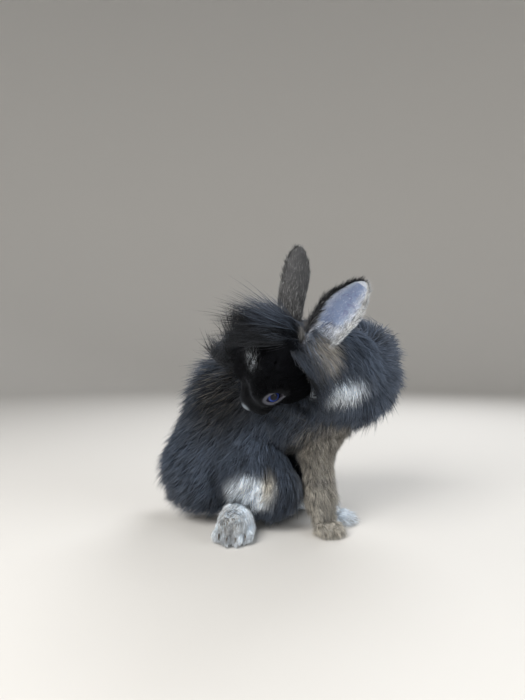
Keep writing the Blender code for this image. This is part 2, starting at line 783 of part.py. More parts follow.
def stand_over_origin():
    """Moves the finished animal so that its box is centred over the origin, on the floor."""
    corners = [obj.matrix_world @ Vector(corner) for obj in ANIMAL.objects for corner in obj.bound_box]
    lowest = Vector([min(corner[axis] for corner in corners) for axis in range(3)])
    highest = Vector([max(corner[axis] for corner in corners) for axis in range(3)])
    middle = (lowest + highest) / 2
    for obj in ANIMAL.objects:
        obj.data.transform(Matrix.Translation((-middle.x, -middle.y, -lowest.z)))


build()
stand_over_origin()
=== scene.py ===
import bpy
import numpy as np
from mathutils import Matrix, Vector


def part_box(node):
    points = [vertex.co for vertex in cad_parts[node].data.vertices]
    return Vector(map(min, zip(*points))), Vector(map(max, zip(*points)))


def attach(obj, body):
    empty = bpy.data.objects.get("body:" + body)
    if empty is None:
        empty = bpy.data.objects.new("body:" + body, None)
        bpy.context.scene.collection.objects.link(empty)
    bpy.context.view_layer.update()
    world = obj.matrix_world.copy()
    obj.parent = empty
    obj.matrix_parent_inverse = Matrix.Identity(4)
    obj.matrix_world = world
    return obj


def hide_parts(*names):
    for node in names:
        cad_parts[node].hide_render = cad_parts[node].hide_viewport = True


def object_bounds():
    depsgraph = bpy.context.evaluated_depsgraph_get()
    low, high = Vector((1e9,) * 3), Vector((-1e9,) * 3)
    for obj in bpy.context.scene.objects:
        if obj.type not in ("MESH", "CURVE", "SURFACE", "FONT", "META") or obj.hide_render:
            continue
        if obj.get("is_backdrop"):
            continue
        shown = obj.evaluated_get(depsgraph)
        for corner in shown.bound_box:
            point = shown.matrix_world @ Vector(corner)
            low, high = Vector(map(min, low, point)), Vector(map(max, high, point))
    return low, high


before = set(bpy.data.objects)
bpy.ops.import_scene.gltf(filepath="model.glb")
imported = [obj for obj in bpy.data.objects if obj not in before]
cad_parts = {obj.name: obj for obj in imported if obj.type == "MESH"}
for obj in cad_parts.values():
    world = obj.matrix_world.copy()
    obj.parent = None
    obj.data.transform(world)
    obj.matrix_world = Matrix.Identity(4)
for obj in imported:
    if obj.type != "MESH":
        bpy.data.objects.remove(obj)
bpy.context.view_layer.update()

# THE HIDE. The whole rabbit under its coat: one unbroken skin over trunk, neck, head, legs and
# feet, with lids, eye sockets, nostrils and the split lip, and the two ears rooted in it.
# Flesh, so it is melted together from round forms; all places are metres in a posing frame.
NOSE = np.array((-0.030, -0.022, 0.104))
FORWARD = np.array((-0.585, 0.310, -0.749))
LEFTWARD = np.array((0.519, -0.573, -0.642))
# Stations along a bent form: x, y, z and radius. A thigh: middle, radii, knee and its radius
TRUNK = (
    (-0.060, 0.042, 0.050, 0.041),
    (-0.034, 0.043, 0.095, 0.043),
    (0.012, 0.038, 0.110, 0.045),
    (0.060, 0.029, 0.128, 0.041),
)
NECK = (
    (0.052, 0.012, 0.130, 0.032),
    (0.034, -0.012, 0.138, 0.030),
    (0.019, -0.030, 0.145, 0.025),
)
TAIL = (
    (-0.080, 0.066, 0.038, 0.010),
    (-0.089, 0.076, 0.037, 0.012),
    (-0.094, 0.084, 0.042, 0.009),
)
THIGHS = {
    "thigh_right": ((-0.024, 0.018, 0.054), (0.031, 0.030, 0.033), (-0.006, 0.012, 0.036), 0.024),
    "thigh_left": ((-0.018, 0.068, 0.054), (0.034, 0.026, 0.034), (0.008, 0.072, 0.038), 0.024),
}
FORELEGS = {
    "foreleg_right": (
        (0.043, 0.022, 0.092, 0.018),
        (0.030, 0.020, 0.064, 0.0145),
        (0.032, 0.012, 0.030, 0.0115),
    ),
    "foreleg_left": (
        (0.042, 0.042, 0.085, 0.017),
        (0.035, 0.042, 0.058, 0.0125),
        (0.037, 0.036, 0.026, 0.0100),
    ),
}
# Each foot: its heel or wrist, the way it points, its length and radius. Toes of a paw and of a
# hind foot: spread, height of the middle and radius
FEET = {
    "foreleg_right": ((0.0345, 0.008, 0.009), (0.30, -0.95, 0.0), 0.016, 0.0090),
    "foreleg_left": ((0.0425, 0.034, 0.009), (0.95, -0.31, 0.0), 0.016, 0.0090),
    "hindfoot_right": ((-0.034, 0.030, 0.012), (-0.07, -1.0, 0.0), 0.058, 0.0130),
    "hindfoot_left": ((-0.026, 0.082, 0.012), (1.0, -0.10, 0.0), 0.058, 0.0130),
}
TOES = {"fore": (0.0066, 0.0048, 0.0042), "hind": (0.0100, 0.0068, 0.0058)}
TOE_START, TOE_ROOT_SPREAD, TOE_CURVE, KNUCKLE = 0.55, 0.8, 0.13, 1.2
# Head forms: a place back, left and up from the nose tip, radii, how softly it melts in, and
# whether it has a twin
HEAD_FORMS = (
    ((0.049, 0.0, 0.000), (0.031, 0.0275, 0.0275), 0.008, False),
    ((0.022, 0.0, -0.004), (0.022, 0.0150, 0.0155), 0.004, False),
    ((0.0060, 0.0, -0.0015), (0.0058, 0.0062, 0.0048), 0.002, False),
    ((0.0165, 0.0, -0.0165), (0.0080, 0.0066, 0.0066), 0.003, False),
    ((0.0110, 0.0062, -0.0085), (0.0090, 0.0082, 0.0078), 0.002, True),
    ((0.041, 0.0120, -0.0130), (0.020, 0.0125, 0.0140), 0.005, True),
    ((0.0320, 0.0110, 0.0110), (0.0135, 0.0090, 0.0080), 0.004, True),
    ((0.0285, 0.0090, 0.0020), (0.0150, 0.0118, 0.0128), 0.004, True),
)
EYE, EYE_RADIUS, LID_WALL = (0.0265, 0.0128, 0.0030), 0.0085, 0.0012
EYE_OUT, SLIT_WAY, SLIT_HALF, SLIT_TALL = (1.0, -0.38, 0.50), (0.76, 0.65), 0.0064, 0.0038
NOSTRIL, NOSTRIL_RADII = (0.0012, 0.0028, -0.0008), (0.0018, 0.0016, 0.0009)
# Furrows: from a corner of the mouth to the chin, and down from the nose; and their radii
MOUTH = (0.024, 0.0125, -0.0135), (0.014, 0.0090, -0.0150), (0.0085, 0.0, -0.0150)
SPLIT_LIP = (0.0015, 0.0, -0.0050), (0.0045, 0.0, -0.0110), (0.0085, 0.0, -0.0150)
FURROW_RADII = 0.00075, 0.00075001
# How far the skin lies inside the firm coat of each part
INSET = {"trunk": 0.006, "neck": 0.006, "thigh": 0.005, "tail": 0.004, "foreleg": 0.002}
HEAD_INSET, FOOT_INSET, TOE_INSET = 0.0003, 0.0010, 0.0006
# The furthest distance kept, the skin's height over the floor, and how far round a form it melts
FAR, SOLE, MELTING = 0.02, 0.0004, 0.014
# Forms of flesh, and hollows cut into them: place, reach, softness of the edge and distance
FORMS, CUTS = [], []


def unit(rows):
    """Each row divided by its own length."""
    rows = np.asarray(rows, float)
    return rows / np.maximum(np.linalg.norm(rows, axis=-1, keepdims=True), 1e-9)


def mixed(first, second, share):
    """first where share is 0, second where it is 1, and a straight mix between."""
    return first + (second - first) * share


def eased(value, start, end):
    """0 before start, 1 past end, and the curve 3t^2 - 2t^3 between them."""
    t = np.clip((value - start) / (end - start), 0, 1)
    return t * t * (3 - 2 * t)


FORWARD = unit(FORWARD)
LEFTWARD = unit(LEFTWARD - FORWARD * (LEFTWARD @ FORWARD))
HEAD_AXES = np.array((-FORWARD, LEFTWARD, np.cross(FORWARD, LEFTWARD)))


def on_head(places):
    """Places back, left and up from the nose tip, turned into the posing frame."""
    return NOSE + np.asarray(places, float) @ HEAD_AXES


def in_head(points):
    """Points of the posing frame as places back, left and up from the nose tip."""
    return (points - NOSE) @ HEAD_AXES.T


def eye_axes(side):
    """Rows along the slit of the lids, across it and outwards, for side 1, left, or -1, right."""
    sideways, ahead, above = EYE_OUT
    out = unit(LEFTWARD * side * sideways + FORWARD * ahead + HEAD_AXES[2] * above)
    along = FORWARD * SLIT_WAY[0] + HEAD_AXES[2] * SLIT_WAY[1]
    along = unit(along - out * (along @ out))
    return np.array((along, np.cross(out, along), out))


def twin(place, side):
    """A place on the head, on the left for side 1 and on the right for side -1."""
    return (place[0], place[1] * side, place[2])


def cone_distance(points, start, end, start_radius, end_radius):
    """Distance to a cone with a ball at each end: to the nearer ball past its ends, and between
    them the distance to the axis, leaned by how fast the radius shrinks."""
    axis = end - start
    length2, shrink = axis @ axis, start_radius - end_radius
    slope2 = length2 - shrink**2
    away = points - start
    y = away @ axis
    z = y - length2
    x2 = ((away * length2 - y[..., None] * axis) ** 2).sum(-1)
    y2, z2 = y * y * length2, z * z * length2
    lean = np.sign(shrink) * shrink**2 * x2
    side = (np.sqrt(x2 * slope2 / length2) + y * shrink) / length2 - start_radius
    past_end = np.sqrt(x2 + z2) / length2 - end_radius
    past_start = np.sqrt(x2 + y2) / length2 - start_radius
    found = np.where(np.sign(y) * slope2 * y2 < lean, past_start, side)
    return np.where(np.sign(z) * slope2 * z2 > lean, past_end, found)


def ball_distance(points, centre, radii, axes=np.eye(3)):
    """Near distance to an ellipsoid: k(k - 1) / g, with k the length of place over radii and g
    that of place over radii squared."""
    place = (points - centre) @ axes.T / radii
    k = np.linalg.norm(place, axis=-1)
    return k * (k - 1) / np.maximum(np.linalg.norm(place / radii, axis=-1), 1e-9)


def melt(first, second, soft):
    """The lesser of two distances, lowered by a quarter of soft where they are alike."""
    near = np.maximum(soft - np.abs(first - second), 0) / soft
    return np.minimum(first, second) - near * near * soft / 4


def add_form(part, soft, low, high, distance):
    """Keeps one form of the body with the box that it can change."""
    FORMS.append((part, soft, np.asarray(low) - MELTING, np.asarray(high) + MELTING, distance))


def add_limb(part, stations, inset, soft):
    """A bent limb: a cone with ball ends from each station of x, y, z and radius to the next."""
    rows = np.array(stations, float)
    for here, there in zip(rows, rows[1:]):
        ends = here[:3], there[:3], here[3] - inset, there[3] - inset
        reach = max(here[3], there[3])
        low, high = np.minimum(here, there)[:3] - reach, np.maximum(here, there)[:3] + reach
        add_form(part, soft, low, high, lambda p, e=ends: cone_distance(p, *e))


def add_ball(part, centre, radii, soft, axes=np.eye(3)):
    """A rounded mass of flesh."""
    centre, radii = np.asarray(centre, float), np.asarray(radii, float)
    low, high = centre - radii.max(), centre + radii.max()
    add_form(part, soft, low, high, lambda p: ball_distance(p, centre, radii, axes))


def toe_ends(foot):
    """Where each of a foot's four toes starts and ends, side by side with the middle ones longest,
    and the radius of their tips."""
    heel, way, length, _ = FEET[foot]
    spread, height, radius = TOES[foot[:4]]
    way = unit(way)
    across = np.cross(way, (0, 0, 1))
    ends = []
    for share in np.linspace(-1, 1, 4):
        start = heel + way * length * TOE_START + across * share * spread * TOE_ROOT_SPREAD
        tip = heel + way * length * (1 - TOE_CURVE * share**2) + across * share * spread
        ends.append(((*start[:2], height * KNUCKLE), (*tip[:2], height)))
    return ends, radius


add_limb("trunk", TRUNK, INSET["trunk"], 0.014)
for part, (middle, radii, knee, knee_radius) in THIGHS.items():
    add_ball(part, middle, np.array(radii) - INSET["thigh"], 0.008)
    add_limb(part, ((*middle, knee_radius), (*knee, knee_radius)), INSET["thigh"], 0.006)
add_limb("neck", NECK, INSET["neck"], 0.012)
add_limb("tail", TAIL, INSET["tail"], 0.004)
for part, stations in FORELEGS.items():
    add_limb(part, (*stations, (*FEET[part][0], FEET[part][3])), INSET["foreleg"], 0.005)
for part, (heel, way, length, radius) in FEET.items():
    if part.startswith("hindfoot"):
        reach = [np.array(heel) + unit(way) * length * share for share in (0.0, 0.6, 0.86)]
        rows = [(*place, radius * size) for place, size in zip(reach, (0.8, 1.0, 0.92))]
        add_limb(part, rows, FOOT_INSET, 0.004)
    toes, radius = toe_ends(part)
    for start, tip in toes:
        add_limb(part, ((*start, radius * KNUCKLE), (*tip, radius)), TOE_INSET, 0.0015)
for place, radii, soft, paired in HEAD_FORMS:
    for side in (1, -1) if paired else (1,):
        bare = np.array(radii) - HEAD_INSET
        add_ball("head", on_head(twin(place, side)), bare, soft, HEAD_AXES)
for side in (1, -1):
    middle, axes = on_head(twin(EYE, side)), eye_axes(side)
    add_ball("head", middle, (EYE_RADIUS + LID_WALL,) * 3, 0.003)

    def socket(points, middle=middle):
        """The hollow that the eyeball turns in."""
        return np.linalg.norm(points - middle, axis=-1) - EYE_RADIUS - 0.0001

    CUTS.append((middle, 0.014, 0.0003, socket))

    def slit(points, middle=middle, axes=axes):
        """The almond between two round cylinders that meet at the corners of the eye."""
        round_radius = (SLIT_HALF**2 + SLIT_TALL**2) / (2 * SLIT_TALL)
        along, across, out = np.moveaxis((points - middle) @ axes.T, -1, 0)
        shift = round_radius - SLIT_TALL
        above, below = np.hypot(along, across - shift), np.hypot(along, across + shift)
        return np.maximum(np.maximum(above, below) - round_radius, -out)

    CUTS.append((middle, 0.016, 0.0007, slit))
    nostril = on_head(twin(NOSTRIL, side))

    def hole(points, middle=nostril):
        """A nostril, narrow from above to below."""
        return ball_distance(points, middle, np.array(NOSTRIL_RADII), HEAD_AXES)

    CUTS.append((nostril, 0.006, 0.0005, hole))


def hide_distance(points, with_cuts=True):
    """Distance to the skin: every form melted into one, the cuts taken out, and the floor."""
    field = np.full(points.shape[:-1], FAR)
    for _, soft, _, _, distance in FORMS:
        field = melt(field, distance(points), soft)
    if with_cuts:
        for _, _, soft, distance in CUTS:
            field = -melt(-field, distance(points), soft)
    return np.maximum(field, SOLE - points[..., 2])


def settled(points, steps=1, with_cuts=True):
    """Points moved onto the skin: each step goes down the distance along its own slope."""
    step = 2e-4
    for _ in range(steps):
        height = hide_distance(points, with_cuts)
        ahead = [hide_distance(points + way, with_cuts) for way in np.eye(3) * step]
        slope = (np.stack(ahead, -1) - height[:, None]) / step
        points = points - slope * (height / np.maximum((slope**2).sum(-1), 0.3))[:, None]
    return points


for line, side in ((MOUTH, 1), (MOUTH, -1), (SPLIT_LIP, 1)):
    share = np.linspace(0, 2, 9)[:, None]
    first, second, third = (np.array(twin(place, side)) for place in line)
    route = np.where(share < 1, mixed(first, second, share), mixed(second, third, share - 1))
    route = settled(on_head(route), 4, False)
    for here, there in zip(route, route[1:]):
        ends = here, there, *FURROW_RADII
        CUTS.append((here, 0.006, 0.0006, lambda p, e=ends: cone_distance(p, *e)))


def ruled(low, high, fine_low, fine_high):
    """Grid lines from low to high, closer together where the face is."""
    wide, fine = 0.0018, 0.00086
    bands = np.arange(low, fine_low, wide), np.arange(fine_low, fine_high, fine)
    return np.concatenate((*bands, np.arange(fine_high, high, wide)))


def skin_net(field, lines):
    """Surface nets: a point in each cell that the skin crosses, at the mean of the crossings of
    its edges, and a quad round each grid line that it crosses, wound to face outwards."""
    inside = field < 0
    corners = [np.array((a, b, c)) for a in (0, 1) for b in (0, 1) for c in (0, 1)]
    shape = np.array(field.shape) - 1
    blocks = [tuple(slice(c, c + s) for c, s in zip(corner, shape)) for corner in corners]
    filled = sum(inside[block].astype(np.int8) for block in blocks)
    cells = np.argwhere((filled > 0) & (filled < 8))
    number = np.full(shape, -1)
    number[tuple(cells.T)] = np.arange(len(cells))
    total, crossings = np.zeros((len(cells), 3)), np.zeros((len(cells), 1))
    for first in corners:
        for axis in np.eye(3, dtype=int):
            if (first * axis).any():
                continue
            ends = [cells + first, cells + first + axis]
            values = [field[tuple(end.T)] for end in ends]
            places = [
                np.stack([line[end[:, i]] for i, line in enumerate(lines)], -1) for end in ends
            ]
            crossed = ((values[0] < 0) != (values[1] < 0))[:, None]
            fall = np.where(crossed[:, 0], values[0] - values[1], 1)[:, None]
            total += crossed * mixed(places[0], places[1], values[0][:, None] / fall)
            crossings += crossed
    quads = []
    for axis in range(3):
        u, v = np.eye(3, dtype=int)[(axis + 1) % 3], np.eye(3, dtype=int)[(axis + 2) % 3]
        low, high = np.moveaxis(inside, axis, 0)[:-1], np.moveaxis(inside, axis, 0)[1:]
        edges = np.argwhere(np.moveaxis(low != high, 0, axis))
        edges = edges[((edges >= u + v) & (edges < shape)).all(-1)]
        quad = np.stack([number[tuple((edges - step).T)] for step in (u + v, v, 0 * u, u)], -1)
        outward = inside[tuple(edges.T)]
        quads.append(np.where(outward[:, None], quad, quad[:, ::-1]))
    return total / crossings, np.concatenate(quads)


# Grid lines of length, width and height: from low to high, and the fine band round the face
GRID = (
    ruled(-0.108, 0.100, -0.043, 0.012),
    ruled(-0.076, 0.108, -0.064, -0.010),
    ruled(-0.0035, 0.182, 0.092, 0.144),
)
field = np.full([len(line) for line in GRID], FAR)


def block_of(low, high):
    """The part of the grid inside a box, and its points."""
    cut = tuple(slice(*np.searchsorted(line, (a, b))) for line, a, b in zip(GRID, low, high))
    return cut, np.stack(np.meshgrid(*(line[c] for line, c in zip(GRID, cut)), indexing="ij"), -1)


for _, soft, low, high, distance in FORMS:
    cut, points = block_of(low, high)
    field[cut] = melt(field[cut], distance(points), soft)
for middle, reach, soft, distance in CUTS:
    cut, points = block_of(middle - reach, middle + reach)
    field[cut] = -melt(-field[cut], distance(points), soft)
field = np.maximum(field, SOLE - GRID[2])
hide_points, hide_quads = skin_net(field, GRID)
hide_points = settled(hide_points)
body_count = len(hide_points)

# Ears: a leaf curled into a cup, nearly a tube at its root and open at its rounded point
EAR_PLACES = {"right": (0.069, -0.0106, -0.0017), "left": (0.072, 0.0134, 0.0027)}
EAR_POINTS = {"right": (0.09, -0.10, 0.99), "left": (0.585, -0.377, 0.710)}
EAR_FACES = {"right": (-0.66, 0.74, 0.10), "left": (0.22, -0.93, -0.28)}
EAR_HALF_WIDTHS = {"right": 0.0150, "left": 0.0170}
EAR_LENGTH, EAR_SUNK, EAR_WALL, TIP_WALL = 0.061, 0.009, 0.0018, 0.55
ROOT_CURL, TIP_CURL, ROOT_GIRTH = 2.3, 0.62, 0.76
EAR_CLOSES, EAR_TIP = {"right": (0.72, 2.2), "left": (0.56, 2.0)}, 0.08
EAR_ROWS, EAR_COLUMNS = 56, 30


def ear_leaf(side, up, share):
    """The middle sheet of an ear and its inward normal. Across it a row is an arc, of angle curl
    times share, whose length is the girth; the girth swells to mid height, then closes."""
    along = unit(EAR_POINTS[side])
    facing = np.array(EAR_FACES[side])
    facing = unit(facing - along * (facing @ along))
    across = np.cross(along, facing)

    def sheet(up, share):
        girth = EAR_HALF_WIDTHS[side] * mixed(ROOT_GIRTH, 1, np.sin(np.pi * np.clip(up, 0, 1)))
        start, roundness = EAR_CLOSES[side]
        closing = np.clip((up - start) / (1 - start), 0, 1) ** roundness
        girth = girth * mixed(EAR_TIP, 1, np.sqrt(1 - closing))
        curl = mixed(ROOT_CURL, TIP_CURL, np.clip(up * 1.5, 0, 1) ** 0.8)
        sideways = np.sin(curl * share) / curl * girth
        forward = (1 - np.cos(curl * share)) / curl * girth - girth * 0.3
        height = up * (EAR_LENGTH + EAR_SUNK) - EAR_SUNK
        place = on_head(EAR_PLACES[side]) + height[..., None] * along
        return place + sideways[..., None] * across + forward[..., None] * facing

    step = 1e-3
    upward = sheet(up + step, share) - sheet(up - step, share)
    sideward = sheet(up, share + step) - sheet(up, share - step)
    normal = unit(np.cross(sideward, upward))
    middle = normal[len(normal) // 2, normal.shape[1] // 2]
    return sheet(up, share), normal * np.sign(middle @ facing)


def tube_faces(rows, around):
    """Quads of a tube of rows rings with around points each."""
    ring = np.arange(around)
    low = np.arange(rows - 1)[:, None] * around + ring
    after = np.arange(rows - 1)[:, None] * around + (ring + 1) % around
    return np.stack((low, after, after + around, low + around), -1).reshape(-1, 4)


def leaf_faces(points, rows, around):
    """Quads of a flattened tube, closed at both ends by strips, and wound to face outwards."""
    strip = np.arange(around // 2 - 1)
    caps = [
        np.stack((first + strip, first + strip + 1, last - 1 - strip, last - strip), -1)
        for first, last in ((0, around - 1), ((rows - 1) * around, rows * around - 1))
    ]
    return outward(points, np.concatenate((tube_faces(rows, around), caps[0][:, ::-1], caps[1])))


def outward(points, faces):
    """Faces turned over where the volume that they close comes out below nothing."""
    a, b, c = (points[faces[:, i]] for i in (0, 1, 2))
    volume = (np.cross(b - a, c - a) * (a - points.mean(0))).sum()
    return faces if volume > 0 else faces[:, ::-1]


# For each point of the skin: 1 on the right ear, 1 on the left, how far up, across, and 1 inside
ear_map = [np.zeros((body_count, 5))]
for number, side in enumerate(("right", "left")):
    rows = 0.9995 * np.sin(np.linspace(0, np.pi / 2, EAR_ROWS))
    columns = np.linspace(-1, 1, EAR_COLUMNS)
    up, share = np.meshgrid(rows, columns, indexing="ij")
    sheet, inward = ear_leaf(side, up, share)
    half = EAR_WALL / 2 * np.sqrt(1.04 - np.abs(share) ** 5) * mixed(1, TIP_WALL, up)
    half = half[..., None]
    points = np.concatenate((sheet - inward * half, (sheet + inward * half)[:, ::-1]), 1)
    points = points.reshape(-1, 3)
    quads = leaf_faces(points, EAR_ROWS, 2 * EAR_COLUMNS)
    hide_quads = np.concatenate((hide_quads, quads + len(hide_points)))
    hide_points = np.concatenate((hide_points, points))
    mapped = np.zeros((EAR_ROWS, 2 * EAR_COLUMNS, 5))
    mapped[..., number] = 1
    mapped[..., 2] = rows[:, None]
    mapped[..., 3] = np.append(columns, columns[::-1])
    mapped[:, EAR_COLUMNS:, 4] = 1
    ear_map.append(mapped.reshape(-1, 5))
ear_map = np.concatenate(ear_map)


def shares_of(points):
    """How much of each point belongs to each part: e to the minus distance over 4 mm from that
    part's own forms, made to add up to one."""
    nearest = {}
    for part, _, _, _, distance in FORMS:
        found = distance(points)
        nearest[part] = np.minimum(nearest.get(part, 1.0), found)
    rows = np.stack(list(nearest.values()), -1)
    rows = np.exp(-(rows - rows.min(-1, keepdims=True)) / 0.004)
    rows /= rows.sum(-1, keepdims=True)
    return {part: rows[..., i] for i, part in enumerate(nearest)}


# Kinds of hair, each the colour of its root, its middle and its tip; the last four on the ears
COATS = {
    "charcoal": ((0.006, 0.007, 0.010), (0.019, 0.026, 0.039), (0.066, 0.084, 0.119)),
    "black": ((0.0006, 0.0006, 0.0008), (0.0013, 0.0014, 0.0018), (0.0042, 0.0046, 0.0060)),
    "ticked": ((0.024, 0.021, 0.018), (0.24, 0.21, 0.165), (0.50, 0.45, 0.37)),
    "cream": ((0.14, 0.125, 0.10), (0.46, 0.42, 0.34), (0.76, 0.71, 0.62)),
    "brown": ((0.015, 0.013, 0.012), (0.05, 0.043, 0.036), (0.10, 0.088, 0.072)),
    "white": ((0.52, 0.60, 0.68), (0.78, 0.86, 0.95), (0.92, 0.96, 1.0)),
    "grey": ((0.010, 0.013, 0.018), (0.046, 0.062, 0.091), (0.135, 0.170, 0.236)),
    "back": ((0.020, 0.020, 0.020), (0.062, 0.061, 0.062), (0.150, 0.148, 0.146)),
    "edge": ((0.004, 0.004, 0.005), (0.010, 0.010, 0.012), (0.030, 0.030, 0.032)),
    "rim": ((0.20, 0.20, 0.19), (0.42, 0.42, 0.41), (0.66, 0.67, 0.68)),
    "inside": ((0.38, 0.38, 0.46), (0.56, 0.60, 0.68), (0.78, 0.82, 0.88)),
}
# How far back on the head the face's short coat ends: at each height, on the crown and on the far
# cheek. The curtain of hair behind it is shaded for a further depth. The blaze is on the brow
FACE_LINE = (-0.022, 0.0, 0.014, 0.024), (0.042, 0.058, 0.0645, 0.0660)
CROWN_LINE, FAR_LINE = 0.0630, 0.019
CURTAIN_DEPTH, BLAZE = np.array((0.009, 0.0, 0.0)), (-0.0222, -0.0525, 0.1395)


def spot(points, middle, reach, hard=1.0):
    """1 at the middle of a mark, falling as e to the minus squared distance over reach."""
    away = ((points - np.asarray(middle)) / np.asarray(reach)) ** 2
    return np.exp(-(away.sum(-1) ** hard))


def face_of(place):
    """1 on the short black coat of the face and 0 behind it. Its edge lies further back on the
    crown than along the jaw, and furthest forward on the far cheek."""
    back, left, up = np.moveaxis(place, -1, 0)
    far = eased(-0.60 * left - 0.80 * up, -0.001, 0.004) * eased(-left, 0.006, 0.012)
    edge = mixed(np.interp(up, *FACE_LINE), FAR_LINE, far)
    return 1 - eased(back, edge - 0.003, edge + 0.003)


def laid_over(base, layers, shape):
    """Root, middle and tip colour at each place: a base coat, and over it one layer after another,
    each mixed in by its own share."""
    made = [np.broadcast_to(colour, (*shape, 3)) for colour in COATS[base]]
    for name, share in layers:
        share = np.clip(share, 0, 1)[..., None]
        made = [mixed(before, np.array(hue), share) for before, hue in zip(made, COATS[name])]
    return made


def markings(points, shares, grain):
    """Root, middle and tip colour at each place: the parts' own coats laid over charcoal, then the
    marks over those, among them a painted highlight on the top of the thigh and painted shade on
    the flank beside the face. grain is a random number for each place that makes mixed hairs."""
    place = in_head(points)
    head = shares["head"]
    bib = eased(points[:, 0], 0.026, 0.034)

    def mark(middle, reach, hard=1.0):
        """A mark on the body, as spot gives it."""
        return spot(points, middle, reach, hard)

    # The flank behind the head: the black laid here is painted shade, the brown hairs mixed in are
    # the coat's own
    shaded_flank = mark((-0.045, -0.015, 0.142), (0.020, 0.03, 0.026))
    lip = head * spot(place, (0.0025, 0.003, 0.0018), (0.0050, 0.0036, 0.0040), 2.0)
    layers = [
        ("grey", 0.8 * (grain > 0.90)),
        ("grey", 0.75 * mark((0.070, -0.010, 0.120), (0.045, 0.060, 0.050))),
        # Painted highlight: the pale blue-grey on the top of the thigh stands for light falling
        # there
        ("grey", 0.90 * mark((-0.021, 0.000, 0.078), (0.018, 0.03, 0.016))),
        ("grey", 0.50 * mark((-0.060, 0.010, 0.062), (0.030, 0.05, 0.022))),
        ("grey", 0.45 * mark((-0.095, 0.030, 0.045), (0.025, 0.05, 0.040))),
        ("grey", 0.35 * (grain > 0.6) * head),
        # Painted shade: black laid over the grey coat on the flank beside the face
        ("black", mark((-0.046, 0.000, 0.106), (0.032, 0.050, 0.027), 1.5)),
        ("ticked", 0.4 * (grain > 0.86) * mark((-0.055, 0.020, 0.120), (0.03, 0.06, 0.03))),
        # Painted shade over the flank behind the head, then its own brown hairs
        ("black", 0.7 * shaded_flank),
        ("brown", 0.5 * (grain > 0.6) * shaded_flank),
        ("black", 0.45 * mark((-0.004, -0.042, 0.168), (0.03, 0.03, 0.012))),
        ("brown", 0.8 * (grain > 0.5) * mark((-0.020, -0.042, 0.190), (0.03, 0.03, 0.012))),
        ("black", 0.5 * head * face_of(place - CURTAIN_DEPTH)),
        ("black", head * face_of(place)),
        ("ticked", (grain > 0.1) * mark((0.026, -0.049, 0.145), (0.014, 0.020, 0.016), 2.0)),
        ("white", 1.6 * bib * mark((0.044, -0.028, 0.1185), (0.018, 0.024, 0.0085), 1.8)),
        ("white", (grain > 0.72) * head * mark(BLAZE, (0.0030, 0.02, 0.0065), 1.3)),
        ("white", 0.42 * lip),
        ("white", 2.2 * mark((-0.025, -0.010, 0.036), (0.017, 0.026, 0.0125), 2.0)),
        ("cream", 0.9 * mark((-0.011, -0.008, 0.040), (0.006, 0.020, 0.011), 1.5)),
    ]
    low = points[:, 2]
    for paw in (shares["foreleg_right"], shares["foreleg_left"]):
        layers.append(("ticked", paw * (grain > 0.30)))
        layers.append(("cream", paw * (grain > mixed(0.20, 0.62, eased(low, 0.038, 0.065)))))
        layers.append(("brown", paw * (grain < mixed(0.15, 0.32, eased(low, 0.045, 0.075)))))
    layers.append(("white", shares["foreleg_left"] * (1 - eased(low, 0.012, 0.03))))
    for foot in ("hindfoot_right", "hindfoot_left"):
        layers.append(("white", eased(shares[foot], 0.25, 0.6)))
    ticks = mark((-0.041, -0.022, 0.020), (0.011, 0.022, 0.010))
    layers += [("ticked", (grain > 0.35) * ticks), ("brown", (grain > 0.60) * ticks)]
    return laid_over("charcoal", layers, points.shape[:-1])


def ear_markings(mapped, grain):
    """Colours of the ears' hair: ticked grey-brown behind; on the left ear nearly black along
    one rim, cream along the other and white inside. mapped is the skin's place on an ear."""
    _, is_left, up, share, inside = mapped.T
    far_rim, near_rim = is_left * eased(-share, 0.62, 0.75), is_left * eased(share, 0.60, 0.90)
    right_back = (1 - inside) * (1 - is_left)
    layers = [
        ("edge", is_left * eased(-share, 0.0, 0.5) * (grain > 0.12) * eased(up, 0.05, 0.30)),
        ("back", is_left * (1 - eased(up, 0.20, 0.45)) * (grain > 0.4)),
        ("edge", 0.8 * right_back * (grain < 0.25)),
        ("rim", 0.5 * right_back * (grain > 0.84)),
        ("inside", inside * is_left),
        ("back", inside * is_left * (grain < 0.22)),
        ("rim", near_rim * (grain > 0.25)),
        ("edge", far_rim * (grain > 0.1) * eased(up, 0.12, 0.36)),
    ]
    return laid_over("back", layers, (len(mapped),))


def stained(mesh, colours):
    """Keeps a colour for each point of a mesh, for its material to read."""
    layer = mesh.attributes.new("coat_colour", "FLOAT_COLOR", "POINT")
    rgba = np.ones((len(colours), 4), np.float32)
    rgba[:, :3] = colours
    layer.data.foreach_set("color", rgba.ravel())


# From the posing frame to the shared one, found where both have the left eye
low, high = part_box("eye_left")
SHIFT = (np.array(low) + np.array(high)) / 2 - on_head(EYE)


def make_piece(name, points, faces, material, stands_for=()):
    """A smooth mesh from points in the posing frame and arrays of faces, riding on the root."""
    mesh = bpy.data.meshes.new(name)
    mesh.vertices.add(len(points))
    mesh.vertices.foreach_set("co", (points + SHIFT).astype(np.float32).ravel())
    sizes = np.concatenate([np.full(len(group), group.shape[1]) for group in faces])
    loops = np.concatenate([group.ravel() for group in faces]).astype(np.int32)
    mesh.loops.add(len(loops))
    mesh.loops.foreach_set("vertex_index", loops)
    mesh.polygons.add(len(sizes))
    mesh.polygons.foreach_set("loop_start", (np.cumsum(sizes) - sizes).astype(np.int32))
    mesh.update(calc_edges=True)
    mesh.shade_smooth()
    mesh.materials.append(material)
    piece = bpy.data.objects.new(name, mesh)
    bpy.context.scene.collection.objects.link(piece)
    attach(piece, "root")
    if stands_for:
        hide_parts(*stands_for)
    return piece


